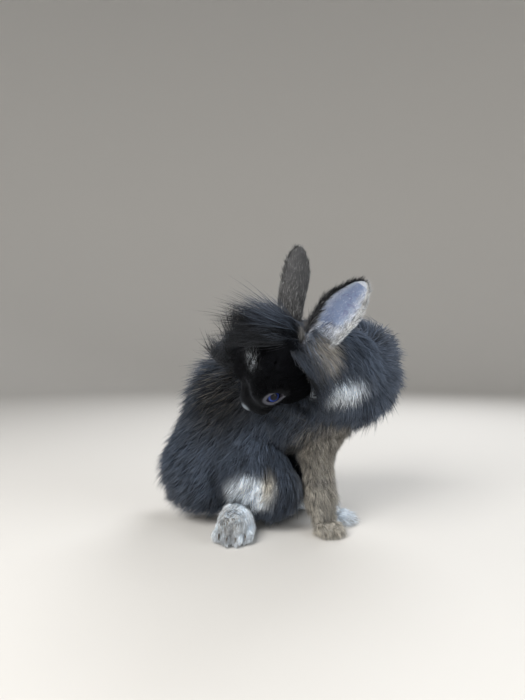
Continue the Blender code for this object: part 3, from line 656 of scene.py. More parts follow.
def new_material(name):
    """A material with its node tree and its shader."""
    material = bpy.data.materials.new(name)
    material.use_nodes = True
    return material, material.node_tree, material.node_tree.nodes["Principled BSDF"]


def plain(of_node, **values):
    """Sets plain values on a node's sockets, whose names are given with _ for a space."""
    for name, value in values.items():
        of_node.inputs[name.replace("_", " ")].default_value = value


def node(tree, kind, links=(), **values):
    """Adds a node with its properties and its plain sockets, which are named with in_ before.
    Each link gives an input the output of another node, or a number."""
    made = tree.nodes.new(kind)
    for name, value in values.items():
        if name.startswith("in_"):
            plain(made, **{name[3:]: value})
        else:
            setattr(made, name, value)
    for source, target in links:
        if isinstance(source, float):
            made.inputs[target].default_value = source
        else:
            tree.links.new(source, made.inputs[target])
    return made


def roughened(tree, shader, height, strength, distance):
    """Raises the surface by a height that changes over it."""
    links = [(height, "Height")]
    raised = node(tree, "ShaderNodeBump", links, in_Strength=strength, in_Distance=distance)
    tree.links.new(raised.outputs["Normal"], shader.inputs["Normal"])


def uneven_group():
    """Shader group: a colour made uneven in strands and in soft patches, by 1 plus the amount
    times fine noise plus broad noise less 1."""
    group = bpy.data.node_groups.new("uneven_coat", "ShaderNodeTree")
    face = group.interface
    face.new_socket("Colour", in_out="INPUT", socket_type="NodeSocketColor")
    for name, value in (("Fine", 900.0), ("Broad", 60.0), ("Amount", 0.5)):
        face.new_socket(name, in_out="INPUT", socket_type="NodeSocketFloat").default_value = value
    face.new_socket("Colour", in_out="OUTPUT", socket_type="NodeSocketColor")
    face.new_socket("Grain", in_out="OUTPUT", socket_type="NodeSocketFloat")
    given, end = group.nodes.new("NodeGroupInput").outputs, group.nodes.new("NodeGroupOutput")
    place = node(group, "ShaderNodeTexCoord").outputs["Object"]
    noises = []
    for size, detail in (("Fine", 3.0), ("Broad", 2.0)):
        links = [(place, "Vector"), (given[size], "Scale"), (detail, "Detail")]
        noises.append(node(group, "ShaderNodeTexNoise", links).outputs["Fac"])
    level, broad = noises
    steps = ("ADD", broad), ("SUBTRACT", 1.0), ("MULTIPLY", given["Amount"]), ("ADD", 1.0)
    for operation, other in steps:
        links = [(level, 0), (other, 1)]
        level = node(group, "ShaderNodeMath", links, operation=operation).outputs[0]
    links = [(given["Colour"], 0), (level, "Scale")]
    tinted = node(group, "ShaderNodeVectorMath", links, operation="SCALE")
    group.links.new(tinted.outputs["Vector"], end.inputs["Colour"])
    group.links.new(noises[0], end.inputs["Grain"])
    return group


UNEVEN = uneven_group()


def coat_material(name, fine, amount, roughness, gloss, sheen, bump):
    """Hair or furred skin: its own kept colours made uneven, a grain in the surface, and sheen."""
    material, tree, shader = new_material(name)
    own = node(tree, "ShaderNodeAttribute", attribute_name="coat_colour").outputs["Color"]
    links = [(own, "Colour"), (fine, "Fine"), (70.0, "Broad"), (amount, "Amount")]
    uneven = node(tree, "ShaderNodeGroup", links, node_tree=UNEVEN).outputs
    tree.links.new(uneven["Colour"], shader.inputs["Base Color"])
    roughened(tree, shader, uneven["Grain"], bump, 0.0004)
    plain(shader, Roughness=roughness, Specular_IOR_Level=gloss, Sheen_Weight=sheen)
    plain(shader, Sheen_Roughness=0.5, Sheen_Tint=(0.75, 0.82, 0.95, 1.0))
    return material


# The lids' bare rim: its width, and its colour outside and next to the eye
LID, LID_GREY, LID_ROSE = 0.0018, np.array((0.082, 0.084, 0.10)), np.array((0.045, 0.040, 0.050))
NOSE_LEATHER = np.array((0.05, 0.045, 0.05))


def lid_ring(side):
    """For each point of the skin: how far out from the slit of the lids, 1 at the edge of their
    bare rim, and how far from the middle of the eyeball, or 1 m behind it."""
    place = (hide_points - on_head(twin(EYE, side))) @ eye_axes(side).T
    ring = np.hypot(place[:, 0] / (SLIT_HALF + LID), place[:, 1] / (SLIT_TALL + LID))
    return ring, np.where(place[:, 2] > 0, np.linalg.norm(place, axis=-1), 1.0)


draw = np.random.default_rng(11)
hide_shares = shares_of(hide_points)
hide_colour = markings(hide_points, hide_shares, draw.random(len(hide_points)))[0]
for side, paleness in ((1, 1.0), (-1, 0.15)):
    ring, away = lid_ring(side)
    lid = paleness * ((1 - eased(ring, 0.95, 1.15)) * (away < 0.0135))[:, None]
    bare = mixed(LID_ROSE, LID_GREY, eased(ring, 0.65, 0.8)[:, None])
    hide_colour = mixed(hide_colour, bare, lid)
leather = spot(in_head(hide_points), (0.002, 0.0, -0.002), (0.004, 0.005, 0.004), 2.0)
leather = (0.7 * leather * hide_shares["head"])[:, None]
hide_colour = mixed(hide_colour, NOSE_LEATHER, leather)
ear_grain = np.full(len(ear_map) - body_count, 0.5)
hide_colour[body_count:] = ear_markings(ear_map[body_count:], ear_grain)[1]
hide = make_piece(
    "hide",
    hide_points,
    [hide_quads],
    coat_material("furred_skin", 2600.0, 0.7, 0.95, 0.08, 0.05, 0.6),
    ("torso", "neck", "head", "ear_left", "ear_right", "thigh_left", "thigh_right", "tail",
     "foreleg_left", "foreleg_right", "hindfoot_left", "hindfoot_right"),
)
stained(hide.data, hide_colour)

# THE EARS' LINING. Bare lavender skin of the cup with fine veins, thin enough to glow a little,
# a leaf of skin laid on the inner face of each ear and running out short of its furred rim.
LAVENDER, PALE, VEIN = (0.17, 0.22, 0.35), (0.40, 0.44, 0.50), (0.10, 0.10, 0.20)


def lining_material():
    """Thin skin: lavender between paler edges, crossed by faint veins where two bent waves of
    noise meet their middle value, soft and a little moist."""
    material, tree, shader = new_material("ear_lining_skin")
    place = node(tree, "ShaderNodeTexCoord").outputs["Object"]
    waves = node(tree, "ShaderNodeTexNoise", [(place, "Vector")], in_Scale=95.0, in_Distortion=0.8)
    links = [(waves.outputs["Fac"], 0), (0.5, 1)]
    level = node(tree, "ShaderNodeMath", links, operation="SUBTRACT")
    away = node(tree, "ShaderNodeMath", [(level.outputs[0], 0)], operation="ABSOLUTE")
    links = [(away.outputs[0], "Value")]
    vein = node(tree, "ShaderNodeMapRange", links, in_From_Max=0.022, in_To_Min=0.45)
    own = node(tree, "ShaderNodeAttribute", attribute_name="coat_colour")
    skin = node(tree, "ShaderNodeMix", [(vein.outputs["Result"], "Factor")], data_type="RGBA")
    colour_a, colour_b = (socket for socket in skin.inputs if socket.type == "RGBA")
    colour_a.default_value = (*VEIN, 1.0)
    tree.links.new(own.outputs["Color"], colour_b)
    veined = next(socket for socket in skin.outputs if socket.type == "RGBA")
    tree.links.new(veined, shader.inputs["Base Color"])
    grain = node(tree, "ShaderNodeTexNoise", [(place, "Vector")], in_Scale=1500.0)
    roughened(tree, shader, grain.outputs["Fac"], 0.3, 0.0003)
    plain(shader, Roughness=0.5, Subsurface_Weight=0.3, Subsurface_Radius=(0.002, 0.001, 0.001))
    return material


LINING_SKIN = lining_material()
LINING_ROWS, LINING_COLUMNS, LINING_EDGE = 48, 26, 0.80
LINING_LOW, LINING_HIGH = 0.10, 0.955
for side in ("right", "left"):
    rows = np.linspace(LINING_LOW, LINING_HIGH, LINING_ROWS)
    columns = np.linspace(-LINING_EDGE, LINING_EDGE, LINING_COLUMNS)
    up, share = np.meshgrid(rows, columns, indexing="ij")
    sheet, inward = ear_leaf(side, up, share)
    ends = np.minimum((up - LINING_LOW) / 0.2, (LINING_HIGH - up) / 0.12)
    edge = np.clip(np.minimum(1 - np.abs(share) / LINING_EDGE, ends) * 6, 0.02, 1)
    thick = (EAR_WALL / 2 * mixed(1, TIP_WALL, up) + 0.00025 * edge)[..., None]
    loop = np.concatenate((sheet + inward * thick * 0.7, (sheet + inward * thick)[:, ::-1]), 1)
    loop = loop.reshape(-1, 3)
    quads = leaf_faces(loop, LINING_ROWS, 2 * LINING_COLUMNS)
    lining = make_piece("ear_lining_" + side, loop, [quads], LINING_SKIN)
    pale = np.abs(np.concatenate((share, share[:, ::-1]), 1)).ravel()
    pale = np.clip(pale * 1.5 - 0.4, 0, 1)[:, None]
    stained(lining.data, mixed(np.array(LAVENDER), np.array(PALE), pale))

# THE EYES. Wet balls set deep in the sockets, with a low clear bulge over a blue iris and a dark
# round pupil. Each is turned out of a profile round the axis that the animal looks along.
# How far from the axis, in half turns, each colour of the eye stands
IRIS_STOPS = (
    (0.00, (0.001, 0.001, 0.003)),
    (0.088, (0.002, 0.002, 0.006)),
    (0.100, (0.006, 0.012, 0.07)),
    (0.128, (0.035, 0.065, 0.27)),
    (0.160, (0.015, 0.025, 0.11)),
    (0.178, (0.010, 0.010, 0.022)),
    (0.205, (0.025, 0.024, 0.036)),
    (0.40, (0.06, 0.055, 0.07)),
)


def eye_material():
    """Colours in rings round the axis, streaked outwards, under a clear wet coat."""
    material, tree, shader = new_material("wet_eye")
    own = node(tree, "ShaderNodeUVMap", uv_map="eye_rings").outputs["UV"]
    parts = node(tree, "ShaderNodeSeparateXYZ", [(own, "Vector")])
    stretched = node(tree, "ShaderNodeMapping", [(own, "Vector")], in_Scale=(60.0, 9.0, 1.0))
    links = [(stretched.outputs["Vector"], "Vector")]
    streaks = node(tree, "ShaderNodeTexNoise", links, in_Scale=1.0, in_Detail=3.0)
    links = [(streaks.outputs["Fac"], "Value")]
    swing = node(tree, "ShaderNodeMapRange", links, in_To_Min=-0.012, in_To_Max=0.012)
    links = [(parts.outputs["Y"], 0), (swing.outputs["Result"], 1)]
    radius = node(tree, "ShaderNodeMath", links, operation="ADD")
    ramp = node(tree, "ShaderNodeValToRGB", [(radius.outputs[0], "Fac")])
    while len(ramp.color_ramp.elements) < len(IRIS_STOPS):
        ramp.color_ramp.elements.new(0.5)
    for stop, (place, colour) in zip(ramp.color_ramp.elements, IRIS_STOPS):
        stop.position = place
        stop.color = (*colour, 1.0)
    tree.links.new(ramp.outputs["Color"], shader.inputs["Base Color"])
    plain(shader, Roughness=0.30, Specular_IOR_Level=0.1, Coat_Weight=0.2, Coat_Roughness=0.02)
    return material


WET_EYE = eye_material()
BALL_SLACK, BULGE, BULGE_REACH = 0.00015, 0.0008, 0.5
for name, side in (("eye_left", 1), ("eye_right", -1)):
    rows, around = 40, 72
    axes = eye_axes(side)
    turn = np.linspace(0, 2 * np.pi, around, endpoint=False)
    lean = (np.linspace(0.004, 0.999, rows) * np.pi)[:, None]
    radius = EYE_RADIUS - BALL_SLACK + BULGE * np.exp(-((lean / BULGE_REACH) ** 2))
    ring = (np.sin(lean) * np.cos(turn), np.sin(lean) * np.sin(turn), np.cos(lean))
    ring = np.stack(np.broadcast_arrays(*ring), -1)
    points = on_head(twin(EYE, side)) + (radius[..., None] * ring).reshape(-1, 3) @ axes
    quads = outward(points, tube_faces(rows, around))
    eyeball = make_piece(name + "_ball", points, [quads], WET_EYE, (name,))
    bowl = eyeball.data.uv_layers.new(name="eye_rings")
    corners = np.empty(len(eyeball.data.loops), np.int32)
    eyeball.data.loops.foreach_get("vertex_index", corners)
    level = np.repeat(lean / np.pi, around)
    rings = np.stack((corners % around / around, level[corners]), -1)
    bowl.data.foreach_set("uv", rings.astype(np.float32).ravel())

# THE CLAWS. Four on each foot, of dark horn, round and hooked, sunk into the toe at their roots
# and coming out just over the pad: a tube that thins to its point along a falling curve.
CLAW_LENGTH, CLAW_RADIUS, CLAW_SUNK, CLAW_TOP, CLAW_DROP = 0.0072, 0.0010, 0.35, 0.0012, 0.0028
CLAW_RINGS, CLAW_SIDES, CLAW_FLOOR = 8, 10, 0.0003
CLAW_ROOT, CLAW_POINT = np.array((0.035, 0.030, 0.028)), np.array((0.14, 0.12, 0.10))
horn, horn_tree, horn_shader = new_material("claw_horn")
own = node(horn_tree, "ShaderNodeAttribute", attribute_name="coat_colour")
horn_tree.links.new(own.outputs["Color"], horn_shader.inputs["Base Color"])
plain(horn_shader, Roughness=0.35)
claw_points, claw_quads, claw_colours = [], [], []
for foot, (_, way, _, _) in FEET.items():
    toes, toe_radius = toe_ends(foot)
    way = unit(way)
    across = np.cross(way, (0, 0, 1))
    for _, tip in toes:
        share = np.linspace(0, 1, CLAW_RINGS)[:, None]
        middle = tip + way * (toe_radius + CLAW_LENGTH * (share - CLAW_SUNK))
        middle[:, 2:] += CLAW_TOP - CLAW_DROP * share**2
        turn = np.linspace(0, 2 * np.pi, CLAW_SIDES, endpoint=False)
        thin = (CLAW_RADIUS * (1 - 0.93 * share**1.3))[..., None]
        ring = across * np.cos(turn)[:, None] + np.array((0, 0, 1.3)) * np.sin(turn)[:, None]
        points = (middle[:, None] + thin * ring).reshape(-1, 3)
        points[:, 2] = np.maximum(points[:, 2], CLAW_FLOOR)
        quads = outward(points, tube_faces(CLAW_RINGS, CLAW_SIDES))
        claw_quads.append(quads + sum(len(group) for group in claw_points))
        claw_points.append(points)
        along = np.repeat(share, CLAW_SIDES)[:, None]
        claw_colours.append(mixed(CLAW_ROOT, CLAW_POINT, along))
claws = make_piece("claws", np.concatenate(claw_points), claw_quads, horn)
stained(claws.data, np.concatenate(claw_colours))

# THE COAT. Long soft outer hair over a dense dark underwool: each tuft is a thin three-sided
# blade, rooted in the skin, that follows the coat's currents, leans into its neighbours' lock
# and carries its own root, middle and tip colour. Finest on face and feet, longest in the mane.
REARWARD, DOWNWARD = np.array((-0.78, 0.0, -0.62)), np.array((0.0, 0.0, -1.0))
# Turns in the body's coat: middle, reach and way; then the fan of the chest
CURRENTS = (
    ((0.034, -0.022, 0.138), 0.034, (0.90, 0.30, -0.25)),
    ((-0.016, -0.002, 0.046), 0.034, (-0.20, -0.05, -0.98)),
)
FAN_MIDDLE, FAN_REACH, FAN_CENTRE = (0.080, 0.022, 0.128), 0.046, (0.046, -0.028, 0.126)
FORELOCK_WAY, FORELOCK_LEVEL, FORELOCK_SPREAD = np.array((-0.96, 0.03, 0.12)), 0.170, 8.0
CURTAIN_WAY, FAR_WAY = np.array((0.40, -0.12, -0.85)), np.array((-0.80, 0.02, -0.10))
TUFT_PROFILE = (0, 0.3, 0.75, 1), (0.8, 1.0, 0.62, 0.1)
ROOT_SUNK, LEAST_HEIGHT = 0.0006, 0.0003
# The unwrapped skin: where it begins, its size, and the side of a tuft's patch on it
CHART_START, CHART_SIZE, PATCH = -0.13, 0.34, 0.003


def body_current(points):
    """The way that the body's coat lies: rearward and down, turned by each current by e to the
    minus squared distance, and fanned out over the chest."""
    way = np.broadcast_to(REARWARD, points.shape)
    for middle, reach, current in CURRENTS:
        way = mixed(way, np.array(current), spot(points, middle, (reach,) * 3)[..., None])
    fan = unit(points - np.array(FAN_CENTRE)) + DOWNWARD * 0.18
    return mixed(way, fan, spot(points, FAN_MIDDLE, (FAN_REACH,) * 3)[..., None])


def head_current(points):
    """Back from the nose over the face, then away from the head's long axis and down, as a
    curtain."""
    place = in_head(points)
    face = unit(points - on_head((-0.006, 0.0, -0.004)))
    away = unit(place * (0, 1, 1)) @ HEAD_AXES
    far = eased(-place[..., 1:2], 0.006, 0.012) * (1 - eased(place[..., 2:], 0.010, 0.018))
    mane = mixed(away * 0.4 + CURTAIN_WAY, away * 0.5 + FAR_WAY, far)
    return mixed(mane, face, face_of(place)[..., None])


def forelock_current(points):
    """Forward over the brow, more upward the higher a strand already is, so that they part."""
    rise = (points[..., 2:] - FORELOCK_LEVEL) * FORELOCK_SPREAD
    return FORELOCK_WAY - DOWNWARD * np.clip(rise, -0.08, 0.25)


def coat_way(points, shares):
    """The current of every part, weighed by how much of the point is that part's."""
    way = shares["head"][..., None] * head_current(points)
    body = sum(share for part, share in shares.items() if part != "head" and part not in FEET)
    way = way + body[..., None] * body_current(points)
    for part in FEET:
        ahead = mixed(1.0, 0.3, eased(points[..., 2:], 0.012, 0.032) * part.startswith("fore"))
        way = way + shares[part][..., None] * unit(np.array(FEET[part][1]) * ahead + DOWNWARD * 0.6)
    return way


def dice(cells, salt):
    """Numbers from 0 to 1 that depend only on whole numbers: sums of primes, shifted and
    multiplied until they look random."""
    mix = (cells * np.array((73856093, 19349663, 83492791))).sum(-1) + salt * 668265263
    mix = mix & 0xFFFFFFFF
    for _ in range(2):
        mix = ((mix ^ (mix >> 16)) * 73244475) & 0xFFFFFFFF
    return (mix ^ (mix >> 16)) / 4294967296.0


def lock_of(points, size):
    """The lock that each root belongs to: the nearest of a set of places, one drawn at random in
    every cell of a grid of that size, with four random numbers of its own."""
    home = np.floor(points / size).astype(np.int64)
    best, middle, cell = np.full(len(points), 9.0), np.zeros_like(points), home.copy()
    for step in np.ndindex(3, 3, 3):
        here = home + np.array(step) - 1
        place = (here + np.stack([dice(here, salt) for salt in (1, 2, 3)], -1)) * size
        away = np.linalg.norm(points - place, axis=-1)
        nearer = away < best
        best = np.where(nearer, away, best)
        middle[nearer], cell[nearer] = place[nearer], here[nearer]
    return middle, np.stack([dice(cell, salt) for salt in (4, 5, 6, 7)], -1)


def combed(roots, normals, length, lift, way_at, look):
    """Centre lines of tufts. Each goes step by step along the coat's current held to the skin,
    raised by its lift, less towards the tip, bent down by its fall and swung by its lock's own
    draw; then it moves towards its lock's middle, more the nearer the tip."""
    rings, _, lock_size, pull, wave, fall = look
    middle, own = lock_of(roots, lock_size)
    single = draw.normal(size=(len(roots), 4))
    length = length * (0.78 + 0.40 * own[:, 0]) * np.clip(1 + 0.16 * single[:, 0], 0.5, 1.5)
    lines = [roots - normals * ROOT_SUNK]
    turn = (own[:, 1] - 0.5) * 0.7 + 0.15 * single[:, 1]
    for ring in range(rings):
        share = (ring + 0.5) / rings
        way = way_at(lines[-1])
        way = unit(way - normals * ((way * normals).sum(-1) * (1 - 0.45 * share))[:, None])
        side = np.cross(normals, way)
        sway = turn + wave * np.sin(own[:, 2] * 6.3 + share * 5.0)
        rise = lift * (0.75 + 0.5 * own[:, 3]) * (1 - 0.55 * share) + 0.10 * single[:, 2]
        step = way + side * sway[:, None] + normals * rise[:, None]
        step = unit(step) + DOWNWARD * fall * share
        lines.append(lines[-1] + unit(step) * (length / rings)[:, None])
    lines = np.stack(lines, 1)
    gather = middle - roots
    gather -= normals * (gather * normals).sum(-1)[:, None]
    share = np.linspace(0, 1, rings + 1)[None, :, None] ** 1.4
    lines = lines + gather[:, None] * share * pull
    lines[..., 2] = np.maximum(lines[..., 2], 2 * LEAST_HEIGHT)
    return lines, own


def coat_piece(name, lines, normals, half_width, colours, material, slot):
    """Tufts from their centre lines: three corners round each ring, half_width wide and half as
    tall, swelling and then thinning to a point, with a closed root. Writes the coat's colours
    and OFBake, where each tuft is a small patch at its root's place on the unwrapped skin."""
    count, rings = lines.shape[0], lines.shape[1] - 1
    roots = lines[:, 0]
    along = unit(np.gradient(lines, axis=1))
    side = unit(np.cross(along, normals[:, None]))
    above = np.cross(side, along)[:, :-1]
    share = np.arange(rings) / rings
    profile = np.interp(share, *TUFT_PROFILE)[:, None] * half_width[:, None, None]
    wide, tall, centre = side[:, :-1] * profile, above * profile, lines[:, :-1]
    corners = (centre - wide - tall * 0.3, centre + wide - tall * 0.3, centre + tall * 0.7)
    points = np.concatenate((np.stack(corners, 2).reshape(count, -1, 3), lines[:, -1:]), 1)
    points[..., 2] = np.maximum(points[..., 2], LEAST_HEIGHT)
    per = 3 * rings + 1
    first = (np.arange(count) * per)[:, None, None]
    around = (tube_faces(rings, 3)[None] + first).reshape(-1, 4)
    ends = [(2, 1, 0)] + [(per - 4 + i, per - 4 + (i + 1) % 3, per - 1) for i in range(3)]
    ends = (np.array(ends)[None] + first).reshape(-1, 3)
    groups = [around, ends] if rings > 1 else [ends]
    piece = make_piece(name, points.reshape(-1, 3), groups, material)
    root, middle, tip = (colour[:, None] for colour in colours)
    level = np.append(np.repeat(share, 3), 1.0)[None, :, None]
    painted = mixed(mixed(root, middle, np.clip(level * 2, 0, 1)), tip, eased(level, 0.45, 0.95))
    stained(piece.data, painted.reshape(-1, 3))
    axis = np.abs(normals).argmax(-1)
    chart = axis * 2 + (np.take_along_axis(normals, axis[:, None], 1)[:, 0] > 0)
    each = np.arange(count)
    flat = np.stack((roots[each, (axis + 1) % 3], roots[each, (axis + 2) % 3]), -1)
    flat = (flat - CHART_START) / CHART_SIZE
    home = np.stack((chart % 3 / 3, chart // 3 / 2), -1) + 0.004 + flat * np.array((0.32, 0.48))
    across = np.append(np.tile((0.0, 1.0, 0.5), rings), 0.5)
    patch = np.stack((across, level[0, :, 0]), -1)
    uv = home[:, None] + (patch[None] - 0.5) * PATCH
    bake = piece.data.uv_layers.new(name="OFBake")
    corner = np.empty(len(piece.data.loops), np.int32)
    piece.data.loops.foreach_get("vertex_index", corner)
    bake.data.foreach_set("uv", uv.reshape(-1, 2)[corner].astype(np.float32).ravel())
    return piece


SOFT_HAIR = coat_material("soft_outer_hair", 700.0, 0.8, 0.6, 0.22, 0.09, 0.15)
SHORT_HAIR = coat_material("short_face_hair", 1200.0, 0.9, 0.65, 0.06, 0.0, 0.15)
PALE_HAIR = coat_material("pale_leg_hair", 900.0, 0.6, 0.65, 0.25, 0.15, 0.15)

# Each part of the coat: tufts on a square millimetre, length where it is that part's alone, rings,
# half width, lock size, pull, wave and fall, its hair and slot
COAT_PARTS = {
    "trunk": (0.74, 0.0175, (2, 0.00031, 0.0046, 0.20, 0.26, 0.20), SOFT_HAIR, "fur_charcoal"),
    "neck": (1.12, 0.0240, (3, 0.00030, 0.0056, 0.23, 0.26, 0.30), SOFT_HAIR, "fur_charcoal"),
    "tail": (1.20, 0.0130, (3, 0.00028, 0.0050, 0.30, 0.20, 0.20), SOFT_HAIR, "fur_charcoal"),
    "thigh_right": (1.70, 0.0145, (2, 0.00027, 0.0044, 0.20, 0.24, 0.2), SOFT_HAIR, "fur_charcoal"),
    "thigh_left": (1.00, 0.0150, (2, 0.00034, 0.0048, 0.28, 0.20, 0.2), SOFT_HAIR, "fur_charcoal"),
    "foreleg_right": (5.0, 0.0074, (1, 0.00021, 0.0034, 0.15, 0.12, 0.1), PALE_HAIR, "fur_ticked"),
    "foreleg_left": (3.2, 0.0068, (1, 0.00024, 0.0034, 0.18, 0.12, 0.1), PALE_HAIR, "fur_cream"),
    "hindfoot_right": (5.2, 0.0062, (1, 0.00021, 0.0032, 0.20, 0.1, 0.1), PALE_HAIR, "fur_cream"),
    "hindfoot_left": (3.4, 0.0062, (1, 0.00025, 0.0032, 0.24, 0.1, 0.1), PALE_HAIR, "fur_cream"),
    "mane": (2.60, 0.0260, (3, 0.00026, 0.0050, 0.32, 0.20, 0.30), SOFT_HAIR, "fur_charcoal"),
    "forelock": (2.2, 0.0390, (6, 0.00019, 0.0054, 0.66, 0.24, 0.07), SOFT_HAIR, "fur_charcoal"),
    "face": (5.6, 0.0050, (1, 0.00020, 0.0026, 0.10, 0.10, 0.0), SHORT_HAIR, "fur_black"),
    "ear_right": (3.4, 0.0050, (1, 0.00018, 0.0030, 0.10, 0.10, 0.0), SHORT_HAIR, "fur_ticked"),
    "ear_left": (3.4, 0.0050, (1, 0.00018, 0.0030, 0.10, 0.10, 0.0), SHORT_HAIR, "fur_ticked"),
}
PART_NAMES = list(COAT_PARTS)
MOST_TRIANGLES, SHAVED, EAR_THICKNESS = 190000, 0.03, 3.0e6

# What each point of the skin grows: its part of the coat, how thick, how long and how raised.
# Where parts meet, their own values are mixed
hide_place = in_head(hide_points)
back, left, up = hide_place.T
east, _, height = hide_points.T
is_face = hide_shares["head"] * face_of(hide_place)
crown = eased(up, 0.002, 0.012) * (left < 0.010) * (left > -0.017) * (back > CROWN_LINE + 0.001)
mane = spot(hide_points, FAN_MIDDLE, (FAN_REACH,) * 3)
own_share = {**hide_shares, "face": is_face}
own_share["forelock"] = (hide_shares["head"] - is_face) * crown
own_share["mane"] = hide_shares["head"] - is_face - own_share["forelock"]
own_share["neck"] = np.maximum(hide_shares["neck"], mane * hide_shares["trunk"])
own_share["trunk"] = hide_shares["trunk"] * (1 - mane)
own_share["ear_right"], own_share["ear_left"] = ear_map[:, 0] * 9, ear_map[:, 1] * 9
table = np.stack([own_share[name] for name in PART_NAMES], -1)
hide_part = table.argmax(-1)
table = table / table.sum(-1, keepdims=True)
hide_length = table @ np.array([COAT_PARTS[name][1] for name in PART_NAMES])
thick = table @ np.array([COAT_PARTS[name][0] for name in PART_NAMES]) * 1e6

# On the face it is shortest at the nose, and stands up along the outline of the far cheek
BEHIND_NOSE = 0, 0.012, 0.030, 0.045, 0.060
FACE_LENGTHS = 0.0018, 0.0032, 0.0056, 0.0085, 0.0110
on_face, on_ear = np.interp(back, BEHIND_NOSE, FACE_LENGTHS), ear_map[:, :2].sum(1) > 0
hide_length = mixed(hide_length, on_face, is_face * ~on_ear)
feet = hide_shares["hindfoot_right"] + hide_shares["hindfoot_left"]
legs = hide_shares["foreleg_right"] + hide_shares["foreleg_left"]
hide_lift = mixed(0.70, np.interp(back, (0.020, 0.048), (0.28, 0.62)), is_face)
contour = is_face * eased(-left, 0.002, 0.014)
contour *= eased(back, 0.012, 0.030) * (1 - eased(back, 0.042, 0.054))
hide_length, hide_lift = mixed(hide_length, 0.0105, contour), mixed(hide_lift, 0.85, contour)

# It lies flat on the feet, is longer at the wrists, the far cheek and the shoulder, close on the
# chest and raised on the nape
on_legs = mixed(0.40, 0.55, eased(height, 0.018, 0.035))
hide_lift = mixed(mixed(hide_lift, 0.28, feet), on_legs, legs)
hide_lift = mixed(hide_lift, 0.40, own_share["forelock"])
wrist = eased(height, 0.010, 0.024) * (1 - eased(height, 0.035, 0.060))
hide_length += 0.0035 * legs * wrist + 0.0018 * legs * (1 - eased(height, 0.012, 0.024))
far_cheek = own_share["mane"] * eased(-left, 0.004, 0.012) * (1 - eased(back, 0.045, 0.065))
hide_length += 0.009 * far_cheek
shoulder = spot(hide_points, (-0.040, 0.030, 0.135), (0.028, 0.045, 0.022))
hide_length, hide_lift = hide_length * (1 + 0.5 * shoulder), hide_lift + 0.3 * shoulder
chest, nape = eased(east, 0.066, 0.090), eased(height, 0.138, 0.156) * eased(east, 0.030, 0.060)
hide_length *= 1 - 0.22 * chest * (1 - nape) + 0.12 * nape
hide_lift += 0.45 * nape - 0.22 * chest * (1 - nape)

# The lids, the eyes' hollows and the nose are bare, and so are the soles, nearly
for side in (1, -1):
    ring, away = lid_ring(side)
    near = away < 0.020
    thick *= ~(near & (ring < 0.95))
    shorter = mixed(0.35, 1.0, eased(ring, 0.95, 1.6))
    hide_length = np.where(near, hide_length * shorter, hide_length)
thick *= hide_distance(hide_points, False) > -0.0012
thick *= np.linalg.norm(hide_place - np.array((0.0005, 0.0, -0.003)), axis=-1) > 0.0030
thick[:body_count] *= (hide_points[:body_count, 2] > 0.003) * (1 - SHAVED) + SHAVED

# On the ears it is short, thicker and longer along the rims, shaggy at their roots and thin on
# the bare skin inside
ear_up, ear_across, ear_inside = ear_map[:, 2:].T
near_rim = ear_map[:, 1] * (ear_across > 0)
rim = eased(np.abs(ear_across), mixed(0.80, 0.40, near_rim), mixed(0.95, 0.85, near_rim))
dark_edge = ear_map[:, 1] * eased(-ear_across, 0.60, 0.85)
shaggy = (1 - ear_inside) * (1 - eased(ear_up, 0.15, 0.45))
shaggy *= mixed(0.4, 1.3, ear_map[:, 1] * (ear_across < 0.3))
ear_length = mixed(0.0052, 0.0030, ear_up) + 0.0010 * rim
ear_length += 0.0055 * np.maximum(dark_edge * (1 - ear_up), shaggy)
deep = ear_inside * ear_map[:, 1] * (1 - eased(ear_up, 0.22, 0.50))
ear_length = mixed(ear_length, 0.0085, deep)
hide_length = np.where(on_ear, ear_length, hide_length)
ear_lift = mixed(0.24, 0.42, ear_up) + 0.26 * np.maximum(ear_inside, shaggy) + 0.33 * dark_edge
hide_lift = np.where(on_ear, ear_lift, hide_lift)
sunk = (hide_distance(hide_points, False) < -0.0005) & on_ear
bare = ear_inside * (1 - rim) * (1 - deep)
thick *= mixed(1.12, 0.85, eased(hide_points[:, 1], 0.0, 0.06))
thick = np.where(on_ear, EAR_THICKNESS * (1 - bare * 0.72) * (1 + 1.5 * rim) * ~sunk, thick)

# Roots, drawn at random by how much hair each triangle of the skin grows

mesh = hide.data
mesh.calc_loop_triangles()
triangles = np.empty(len(mesh.loop_triangles) * 3, np.int32)
mesh.loop_triangles.foreach_get("vertices", triangles)
triangles = triangles.reshape(-1, 3)
hide_normals = np.empty(len(mesh.vertices) * 3, np.float32)
mesh.vertices.foreach_get("normal", hide_normals)
hide_normals = hide_normals.reshape(-1, 3)
a, b, c = (hide_points[triangles[:, i]] for i in (0, 1, 2))
chance = np.linalg.norm(np.cross(b - a, c - a), axis=-1) / 2 * thick[triangles].mean(-1)
picked = draw.choice(len(chance), int(chance.sum()), p=chance / chance.sum())
s, t = np.sort(draw.random((2, len(picked))), 0)
root_parts, root_corners = np.stack((s, t - s, 1 - t), -1), triangles[picked]


def spread(values):
    """Values of the skin's points, mixed at each root by how near it is to each corner."""
    return np.einsum("ij,ij...->i...", root_parts, values[root_corners])


roots, normals = spread(hide_points), unit(spread(hide_normals))
length, lift, grain = spread(hide_length), spread(hide_lift), draw.random(len(roots))
shares = {part: spread(share) for part, share in hide_shares.items()}
mapped = spread(ear_map)
nearest = np.take_along_axis(root_corners, root_parts.argmax(-1)[:, None], 1)[:, 0]
labels = hide_part[nearest]


def current_for(name, own_shares):
    """The current that a part of the coat follows, as a function of places."""
    if name.startswith("ear_"):
        return lambda places: np.broadcast_to(unit(EAR_POINTS[name[4:]]), places.shape)
    if name == "forelock":
        return forelock_current
    return lambda places: coat_way(places, own_shares)


